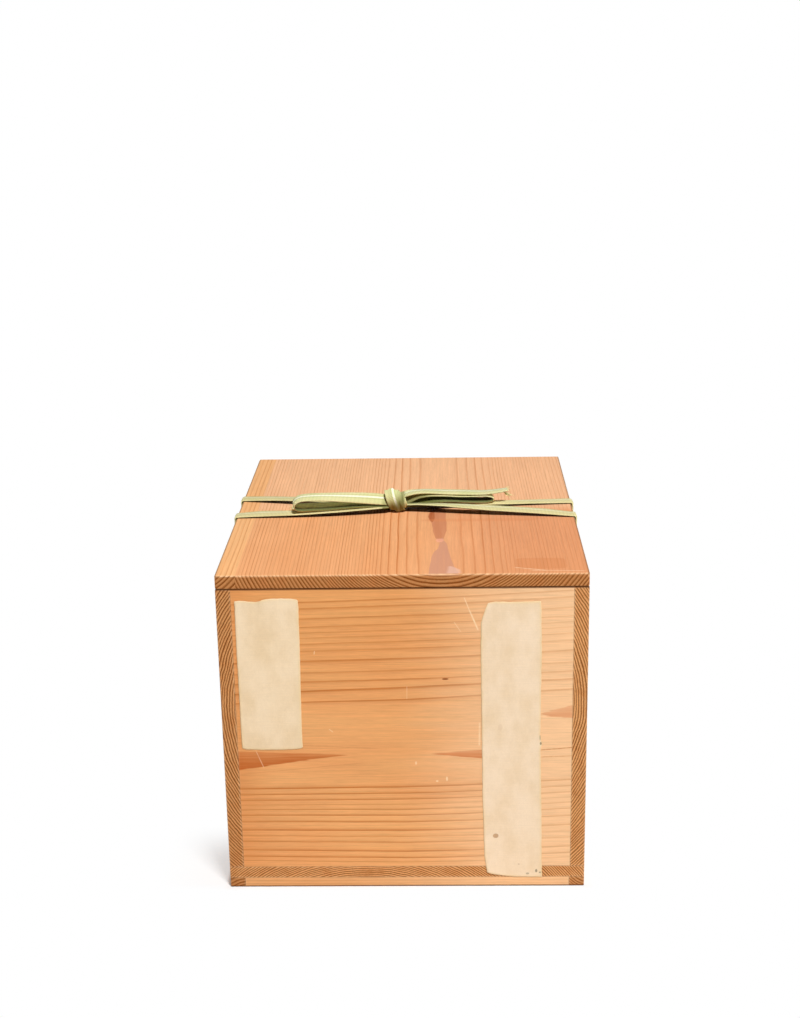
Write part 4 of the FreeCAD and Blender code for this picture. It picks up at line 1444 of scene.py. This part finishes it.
@dataclass(frozen=True)
class KnotWrap:
    """A turn of cord round the knot, which slants from upper left to lower right."""

    name: str
    half_depth: float
    half_height: float
    shift: float
    slant: float
    width_share: float
    fold: float
    belly: float = 0.0
    belly_rise: float = 0.3
    round_steps: int = 16
    overlap_steps: int = 4
    stretch: float = 1.02
    first_turn: float = -0.75 * math.pi

    def ribbon(self, centre: Vector) -> Ribbon:
        """The wrap's ribbon about the middle of the knot.

        Its control points go once round an ellipse and a little past the start; each lies to the right by the
        slant times minus the cosine of its turn from the top, and further out by the belly below the front.
        """
        points = []
        for step in range(-self.overlap_steps, self.round_steps + 1):
            turn = step / self.round_steps * 2 * math.pi * self.stretch + self.first_turn
            bulge = self.belly * max(0.0, math.sin(turn)) ** 2
            points.append(
                (
                    centre.x + self.shift - self.slant * math.cos(turn),
                    centre.y - (self.half_depth + bulge) * math.sin(turn),
                    centre.z + (self.half_height + bulge * self.belly_rise) * math.cos(turn),
                )
            )
        route = Route(tuple(points), behind=(1.0, 0.0, 0.0))
        return Ribbon(self.name, route, fold=self.fold, width_share=self.width_share)


@dataclass(frozen=True)
class CordLength:
    """One length of the cord: its ribbon, the nodes that it stands for, how long it is and how it lies."""

    ribbon: Ribbon
    nodes: tuple[str, ...]
    length: float
    far_end: str
    lay: str


@dataclass
class TyingCord:
    """The cord: two bands round the box, the knot on the lid, and the bow's two loops and two ends."""

    lid_top: float = 267.0 * MM
    out: float = 143.5 * MM
    over: float = 268.0 * MM
    under: float = 7.6 * MM
    notch: float = 30.0 * MM
    lead: float = 4.0 * MM
    tuck: float = 3.0 * MM
    knot_x: float = -10.0 * MM
    knot_half_width: float = 5.0 * MM
    wraps: tuple[KnotWrap, ...] = (
        KnotWrap("knot_wide_wrap", 9.0 * MM, 8.6 * MM, 1.3 * MM, 3.2 * MM, 0.97, 0.9 * MM),
        KnotWrap("knot_narrow_wrap", 8.0 * MM, 6.4 * MM, 6.4 * MM, 2.2 * MM, 0.42, 0.5 * MM, 0.6 * MM),
        KnotWrap("knot_small_wrap", 6.6 * MM, 4.8 * MM, 9.3 * MM, 1.4 * MM, 0.34, 0.5 * MM, 0.4 * MM),
    )
    band_length: float = 1.062
    left_loop_length: float = 0.1554
    right_loop_length: float = 0.1524
    left_end_length: float = 0.082
    right_end_length: float = 0.0899

    def band_route(
        self, left: Sequence[Place3], right: Sequence[Place3], crossings: tuple[float, float], notch: float,
        leans: tuple[tuple[float, ...], tuple[float, ...]],
    ) -> Route:
        """The route of one band: from the knot over the left edge, under the box, and back to the knot.

        Args:
            left: Its points on the lid from the knot to the left edge.
            right: Its points on the lid from the right edge to the knot.
            crossings: How far back it crosses the left and right edges of the lid.
            notch: How far back it passes the notches of the foot rails.
            leans: Degrees that its width leans up at the back, at each point on the left and on the right.

        Returns:
            The route, with two points beside each corner that it turns.
        """
        left_cross, right_cross = crossings
        out, over, under = self.out, self.over, self.under
        corners = (
            (-out + self.lead, left_cross, over), (-out, left_cross, over),
            (-out, left_cross, over - self.lead), (-out, notch, under + self.tuck),
            (-out, notch, under), (-out + self.tuck, notch, under),
            (out - self.tuck, notch, under), (out, notch, under),
            (out, notch, under + self.tuck), (out, right_cross, over - self.lead),
            (out, right_cross, over), (out - self.lead, right_cross, over),
        )
        return Route((*left, *corners, *right), (*leans[0], *(0.0,) * len(corners), *leans[1]))

    def planar(
        self, route: Sequence[tuple[float, float]], side: int, yaw: float, lean: float, back: float,
        rise: float, leans: tuple[float, ...] = (),
    ) -> Route:
        """A route that lies in one plane beside the knot.

        A point is the plane's start plus its first number outwards and its second up; outwards turns by the
        yaw, and up leans forward as the cord's width leans up at the back.

        Args:
            route: Places outwards and up, in metres.
            side: -1 for the left, 1 for the right.
            yaw: Degrees that the plane turns.
            lean: Degrees that the cord's width leans.
            back: The plane's start, back from the middle of the box.
            rise: The plane's start, up from the lid.
            leans: Degrees that the width leans at each point, if they differ.

        Returns:
            The route.
        """
        turn, tip = math.radians(yaw), math.radians(lean)
        outwards = Vector((side * math.cos(turn), side * math.sin(turn), 0))
        behind = Vector((-math.sin(turn), math.cos(turn), 0))
        up = Vector((0, 0, math.cos(tip))) - behind * math.sin(tip)
        start = Vector((self.knot_x, back, self.lid_top + rise))
        points = tuple(tuple(start + outwards * along + up * height) for along, height in route)
        return Route(points, leans or (lean,) * len(points), tuple(behind))

    def lengths(self) -> dict[str, CordLength]:
        """The six lengths of the cord, by name."""
        left_loop = (
            (0.0045, 0.0034), (0.0116, 0.0047), (0.0223, 0.0063), (0.033, 0.0075), (0.0436, 0.0086),
            (0.0542, 0.0095), (0.0627, 0.0101), (0.0720, 0.0103), (0.0800, 0.0098), (0.0846, 0.0064),
            (0.0846, 0.0014), (0.0795, -0.0001), (0.0711, 0.0001), (0.0627, -0.0002), (0.0542, 0.0),
            (0.0436, 0.0008), (0.033, 0.0014), (0.0223, 0.0014), (0.0116, 0.0008), (0.0045, 0.0006),
        )
        left_leans = (37, 37, 37, 31, 26, 20, 17, 15, 12, 12, 14, 17, 17, 17, 17, 17, 17, 18, 20, 22)
        right_loop = (
            (0.0045, 0.0040), (0.0093, 0.0056), (0.015, 0.0077), (0.022, 0.0088), (0.031, 0.0086),
            (0.043, 0.0076), (0.057, 0.0060), (0.071, 0.0054), (0.081, 0.0052), (0.0868, 0.0026),
            (0.0825, -0.0006), (0.0705, 0.0), (0.0609, 0.0010), (0.0522, 0.0021), (0.0436, 0.0031),
            (0.0349, 0.0040), (0.018, 0.0042), (0.0093, 0.0034), (0.0045, 0.0020),
        )
        right_leans = (60, 60, 45, 20, 8, 4, 4, 4, 4, 4, 4, 4, 4, 4, 8, 20, 50, 70, 70)
        right_end = (
            (0.0045, 0.0066), (0.009, 0.0086), (0.0142, 0.0101), (0.0197, 0.0110), (0.0291, 0.0108),
            (0.0448, 0.0091), (0.0605, 0.0080), (0.0764, 0.0067), (0.0843, 0.0070), (0.0922, 0.0076),
            (0.0985, 0.0084),
        )
        end_leans = (0, 0, 0, 0, 0, 2, 3, 1, -2, -4, -7)
        left_end = (
            (0.004, 0.00105), (0.022, 0.001), (0.038, 0.00115), (0.056, 0.001), (0.074, 0.0011),
            (0.087, 0.00135),
        )
        left_knot = self.knot_x - self.knot_half_width
        right_knot = self.knot_x + self.knot_half_width
        top = self.lid_top
        front = self.band_route(
            (
                (left_knot, -7.0 * MM, top + 4.9 * MM), (-31.6 * MM, -10.0 * MM, top + 4.3 * MM),
                (-63.7 * MM, -14.2 * MM, top + 2.8 * MM), (-97.6 * MM, -15.6 * MM, top + 2.4 * MM),
                (-123 * MM, -15.8 * MM, top + 2.2 * MM),
            ),
            (
                (118 * MM, -18.4 * MM, top + 2.9 * MM), (95.5 * MM, -16.1 * MM, top + 3.9 * MM),
                (72 * MM, -13.9 * MM, top + 4.9 * MM), (49.6 * MM, -10.9 * MM, top + 5.8 * MM),
                (34.3 * MM, -8.4 * MM, top + 6.1 * MM), (12.6 * MM, -5.0 * MM, top + 6.3 * MM),
                (right_knot, -2.7 * MM, top + 6.3 * MM),
            ),
            (-16.0 * MM, -20.7 * MM), -self.notch, ((-6, -6, -7, 2, 5), (4, 4, 4, -1, -8, -9, 0)),
        )
        rear = self.band_route(
            (
                (left_knot, 5.0 * MM, top + 5.6 * MM), (-60 * MM, 14.0 * MM, top + 4.0 * MM),
                (-107 * MM, 24.5 * MM, top + 3.3 * MM),
            ),
            (
                (112 * MM, 13.9 * MM, top + 1.5 * MM), (80 * MM, 10.6 * MM, top + 2.0 * MM),
                (right_knot, 3.0 * MM, top + 3.4 * MM),
            ),
            (32.0 * MM, 17.0 * MM), self.notch, ((0, 0, -2), (-2, -2, 0)),
        )
        front_nodes = (
            "front_under_run", "left_front_side_run", "right_front_side_run", "left_front_lid_run",
            "right_front_lid_run",
        )
        rear_nodes = (
            "rear_under_run", "left_rear_side_run", "right_rear_side_run", "left_rear_lid_run",
            "right_rear_lid_run",
        )
        left_bow = self.planar(left_loop, -1, 8, 20, -4.2 * MM, 7.3 * MM, left_leans)
        right_bow = self.planar(right_loop, 1, 9, 4, -3.0 * MM, 5.1 * MM, right_leans)
        left_tail = self.planar(left_end, -1, -1, 0, 4.2 * MM, 0.0)
        right_tail = self.planar(right_end, 1, 9, 4, -3.0 * MM, 5.1 * MM, end_leans)
        return {
            "front_band": CordLength(
                Ribbon("front_band_cord", front, inner_side=2), front_nodes,
                self.band_length, "object", "taut",
            ),
            "rear_band": CordLength(
                Ribbon("rear_band_cord", rear, inner_side=2), rear_nodes,
                self.band_length, "object", "taut",
            ),
            "left_loop": CordLength(
                Ribbon("left_loop_cord", left_bow, inner_side=1), ("left_bow_loop",),
                self.left_loop_length, "object", "loose",
            ),
            "right_loop": CordLength(
                Ribbon("right_loop_cord", right_bow, inner_side=-1), ("right_bow_loop",),
                self.right_loop_length, "object", "loose",
            ),
            "left_end": CordLength(
                Ribbon("left_end_cord", left_tail), ("left_cord_end",),
                self.left_end_length, "bare", "loose",
            ),
            "right_end": CordLength(
                Ribbon("right_end_cord", right_tail), ("right_cord_end",),
                self.right_end_length, "bare", "loose",
            ),
        }

    def build(self) -> None:
        """Weaves every length of the cord, ties the knot and frays both cut ends."""
        material = WovenCord(self.knot_x, self.lid_top).material()
        pieces = {"front_band": [self._knot(material)]}
        for name, frays in self._frays().items():
            pieces[name] = [fray.build(material) for fray in frays]
        for name, piece in self.lengths().items():
            ribbon = piece.ribbon
            made = ribbon.build(material)
            spine, _, _ = ribbon.spine()
            if name.endswith("_band"):
                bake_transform(made)
            else:
                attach(made, "lid")
            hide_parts(*piece.nodes)
            log.info("wove %s with %d faces", ribbon.name, len(made.data.polygons))

    def _frays(self) -> dict[str, tuple[Fray, ...]]:
        """The loose threads of both cut ends and the curled corner of the right one."""
        top = self.lid_top
        left_tip = (-96.6 * MM, 2.6 * MM, top + 1.3 * MM)
        right_tip = (87.4 * MM, 12.4 * MM, top + 13.9 * MM)
        right_corner = (86.0 * MM, 15.0 * MM, top + 9.5 * MM)
        return {
            "left_end": (
                Fray("left_end_threads", left_tip, (-1.0, 0.02, 0.06), 3, 4.5 * MM, 26, across=0.3),
            ),
            "right_end": (
                Fray("right_end_threads", right_tip, (0.97, 0.2, 0.1), 4, 3.2 * MM, 26, across=0.3),
                Fray(
                    "right_curled_threads", right_corner, (0.7, 0.4, -0.6), 6, 8.0 * MM, 16, across=0.2,
                    half_width=2.0 * MM, thickness=0.5 * MM,
                ),
            ),
        }

    def _knot(self, material: bpy.types.Material) -> bpy.types.Object:
        """The knot: a core that fills it and the wraps of cord about it. Returns the core."""
        low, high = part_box("cord_knot")
        centre = (low + high) / 2
        core = self._core(centre, (high - low) / 2, material)
        for wrap in self.wraps:
            made = wrap.ribbon(centre).build(material)
            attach(made, "lid")
            log.info("tied %s", wrap.name)
        return core

    def _core(self, centre: Vector, half: Vector, material: bpy.types.Material) -> bpy.types.Object:
        """A rounded pillow inside the knot.

        A point at turn a about the X axis and at share s along it lies at the half sizes times the cosine and
        sine of a, drawn in by the fourth root of 1 - s^4 towards both ends.
        """
        round_steps, long_steps = 28, 18
        length_share, depth_share = 0.86, 0.92
        turns = np.linspace(0, 2 * np.pi, round_steps, endpoint=False)
        shares = np.sin(np.linspace(-np.pi / 2, np.pi / 2, long_steps))
        draw = np.clip(1 - shares**4, 0.0, 1.0) ** 0.25 * length_share
        x = centre.x + shares * half.x * length_share
        y = centre.y + np.outer(draw, np.cos(turns)) * half.y * depth_share
        z = centre.z + np.outer(draw, np.sin(turns)) * half.z * depth_share
        points = np.stack(np.broadcast_arrays(x[:, None], y, z), axis=-1).reshape(-1, 3)
        faces = grid_faces(shares.size, turns.size, wrapped=True)
        closed = np.linspace(0, 1, turns.size + 1)
        made = mesh_object("knot_core_cord", points, faces, grid_corners(shares * half.x, closed))
        made.data.materials.append(material)
        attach(made, "lid")
        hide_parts("cord_knot")
        return made


@dataclass(frozen=True)
class Lamp:
    """A soft square lamp that looks at the box."""

    name: str
    place: Place3
    size: float
    power: float
    aim: Place3 = (0.0, 0.0, 0.13)

    def build(self) -> None:
        """Hangs the lamp."""
        data = bpy.data.lights.new(self.name, "AREA")
        data.shape = "SQUARE"
        data.size = self.size
        data.energy = self.power
        lamp = bpy.data.objects.new(self.name, data)
        lamp.location = self.place
        lamp.rotation_mode = "QUATERNION"
        lamp.rotation_quaternion = (Vector(self.aim) - Vector(self.place)).to_track_quat("-Z", "Y")
        bpy.context.scene.collection.objects.link(lamp)


@dataclass
class Studio:
    """The camera, the lamps, the white surroundings and the pale floor."""

    camera_place: Place3 = (0.03066, -1.30243, 0.67422)
    pitch: float = 17.339
    yaw: float = -1.554
    roll: float = -1.013
    focal_pixels: float = 1595.0
    sensor: float = 36.0
    nearest: float = 50 * MM
    ambient: float = 0.06
    lamps: tuple[Lamp, ...] = (
        Lamp("key_softbox", (0.7, -1.65, 3.15), 0.6, 128.0, (0.0, 0.0, 0.2)),
        Lamp("left_fill", (-1.8, 0.0, 0.1), 0.28, 8.0),
        Lamp("right_fill", (1.8, 0.0, 0.1), 0.28, 7.0),
        Lamp("back_fill", (0.0, 2.0, 0.1), 0.28, 14.0),
    )
    floor_half: float = 3.0
    floor_grey: Colour = srgb(246, 246, 246)
    shade_reach: float = 58 * MM
    shade_strength: float = 0.44
    contact_reach: float = 6 * MM
    contact_strength: float = 0.8

    def build(self) -> None:
        """Sets up everything round the box."""
        self._camera()
        for lamp in self.lamps:
            lamp.build()
        self._world()
        self._floor()
        bpy.context.scene.view_settings.view_transform = "Standard"

    def _camera(self) -> None:
        """The camera at the photograph's place, turned by its yaw, pitch and roll."""
        pitch, yaw, roll = (math.radians(angle) for angle in (self.pitch, self.yaw, self.roll))
        ahead = Vector((math.sin(yaw) * math.cos(pitch), math.cos(yaw) * math.cos(pitch), -math.sin(pitch)))
        level = Vector((math.cos(yaw), -math.sin(yaw), 0))
        upright = level.cross(ahead)
        right = level * math.cos(roll) + upright * math.sin(roll)
        up = upright * math.cos(roll) - level * math.sin(roll)
        data = bpy.data.cameras.new("camera")
        data.sensor_width = self.sensor
        data.lens = self.focal_pixels * self.sensor / IMAGE_HEIGHT
        data.clip_start = self.nearest
        camera = bpy.data.objects.new("camera", data)
        turn = Matrix((right, up, -ahead)).transposed().to_4x4()
        camera.matrix_world = Matrix.Translation(self.camera_place) @ turn
        bpy.context.scene.collection.objects.link(camera)
        bpy.context.scene.camera = camera

    def _world(self) -> None:
        """White to the camera and in reflections, and a soft even light on the box."""
        world = bpy.data.worlds.new("surroundings")
        world.use_nodes = True
        nodes, links = world.node_tree.nodes, world.node_tree.links
        nodes.clear()
        path = nodes.new("ShaderNodeLightPath")
        straight = path.outputs["Is Camera Ray"]
        for other in ("Is Glossy Ray", "Is Transmission Ray"):
            seen = nodes.new("ShaderNodeMath")
            seen.operation = "MAXIMUM"
            links.new(straight, seen.inputs[0])
            links.new(path.outputs[other], seen.inputs[1])
            straight = seen.outputs[0]
        strength = nodes.new("ShaderNodeMapRange")
        strength.inputs["To Min"].default_value = self.ambient
        strength.inputs["To Max"].default_value = 1.0
        links.new(straight, strength.inputs["Value"])
        background = nodes.new("ShaderNodeBackground")
        background.inputs["Color"].default_value = (1.0, 1.0, 1.0, 1.0)
        links.new(strength.outputs[0], background.inputs["Strength"])
        output = nodes.new("ShaderNodeOutputWorld")
        links.new(background.outputs[0], output.inputs["Surface"])
        bpy.context.scene.world = world

    def _floor(self) -> None:
        """A pale floor that keeps the box's shadow near it and fades to white.

        The shade fades with the distance from the box and lies to the left of its front corner; a narrower
        dark line runs all round where the box stands.
        """
        uv = np.array([(0, 0), (1, 0), (1, 1), (0, 1)], float)
        corners = np.zeros((4, 3))
        corners[:, :2] = (uv * 2 - 1) * self.floor_half
        floor = mesh_object("floor", corners, np.array([[0, 1, 2, 3]]), uv)
        sheet = ShaderSheet("pale_floor", Roughness=0.9, Specular_IOR_Level=0.0, Base_Color=self.floor_grey)
        x, y, _ = sheet.split(sheet.coordinates("Object"))
        low, high = CAD_BOUNDS
        beside = (abs(x) - high[0]).math("MAXIMUM", 0.0)
        before = (abs(y) - high[1]).math("MAXIMUM", 0.0)
        distance = (beside * beside + before * before).math("SQRT")
        left_side = x.ramp(low[0] + 20 * MM, low[0])
        strip = y.ramp(-60 * MM, -125 * MM) * y.ramp(-172 * MM, -158 * MM)
        shade, contact = (
            (1.0 - distance * (1 / reach)).math("MAXIMUM", 0.0) * strength
            for reach, strength in (
                (self.shade_reach, self.shade_strength), (self.contact_reach, self.contact_strength),
            )
        )
        far = (1.0 - (shade * left_side * strip).math("MAXIMUM", contact)).math("MAXIMUM", 0.0)
        seen = sheet.node("ShaderNodeLightPath", None, None, "Is Camera Ray")
        glow = sheet.tree.nodes.new("ShaderNodeEmission")
        mixer = sheet.tree.nodes.new("ShaderNodeMixShader")
        output = next(node for node in sheet.tree.nodes if node.type == "OUTPUT_MATERIAL")
        sheet.tree.links.new((far * seen).socket, mixer.inputs[0])
        sheet.tree.links.new(sheet.shader.outputs[0], mixer.inputs[1])
        sheet.tree.links.new(glow.outputs[0], mixer.inputs[2])
        sheet.tree.links.new(mixer.outputs[0], output.inputs["Surface"])
        floor.data.materials.append(sheet.material)


def main() -> None:
    """Builds the studio, dresses the box and the lid, pastes the labels and ties the cord."""
    logging.basicConfig(level=logging.INFO, format="%(message)s")
    Studio().build()
    BoxBody().dress()
    LiftOffLid().dress()
    PaperLabels().build()
    TyingCord().build()
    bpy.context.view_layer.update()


if __name__ == "__main__":
    main()
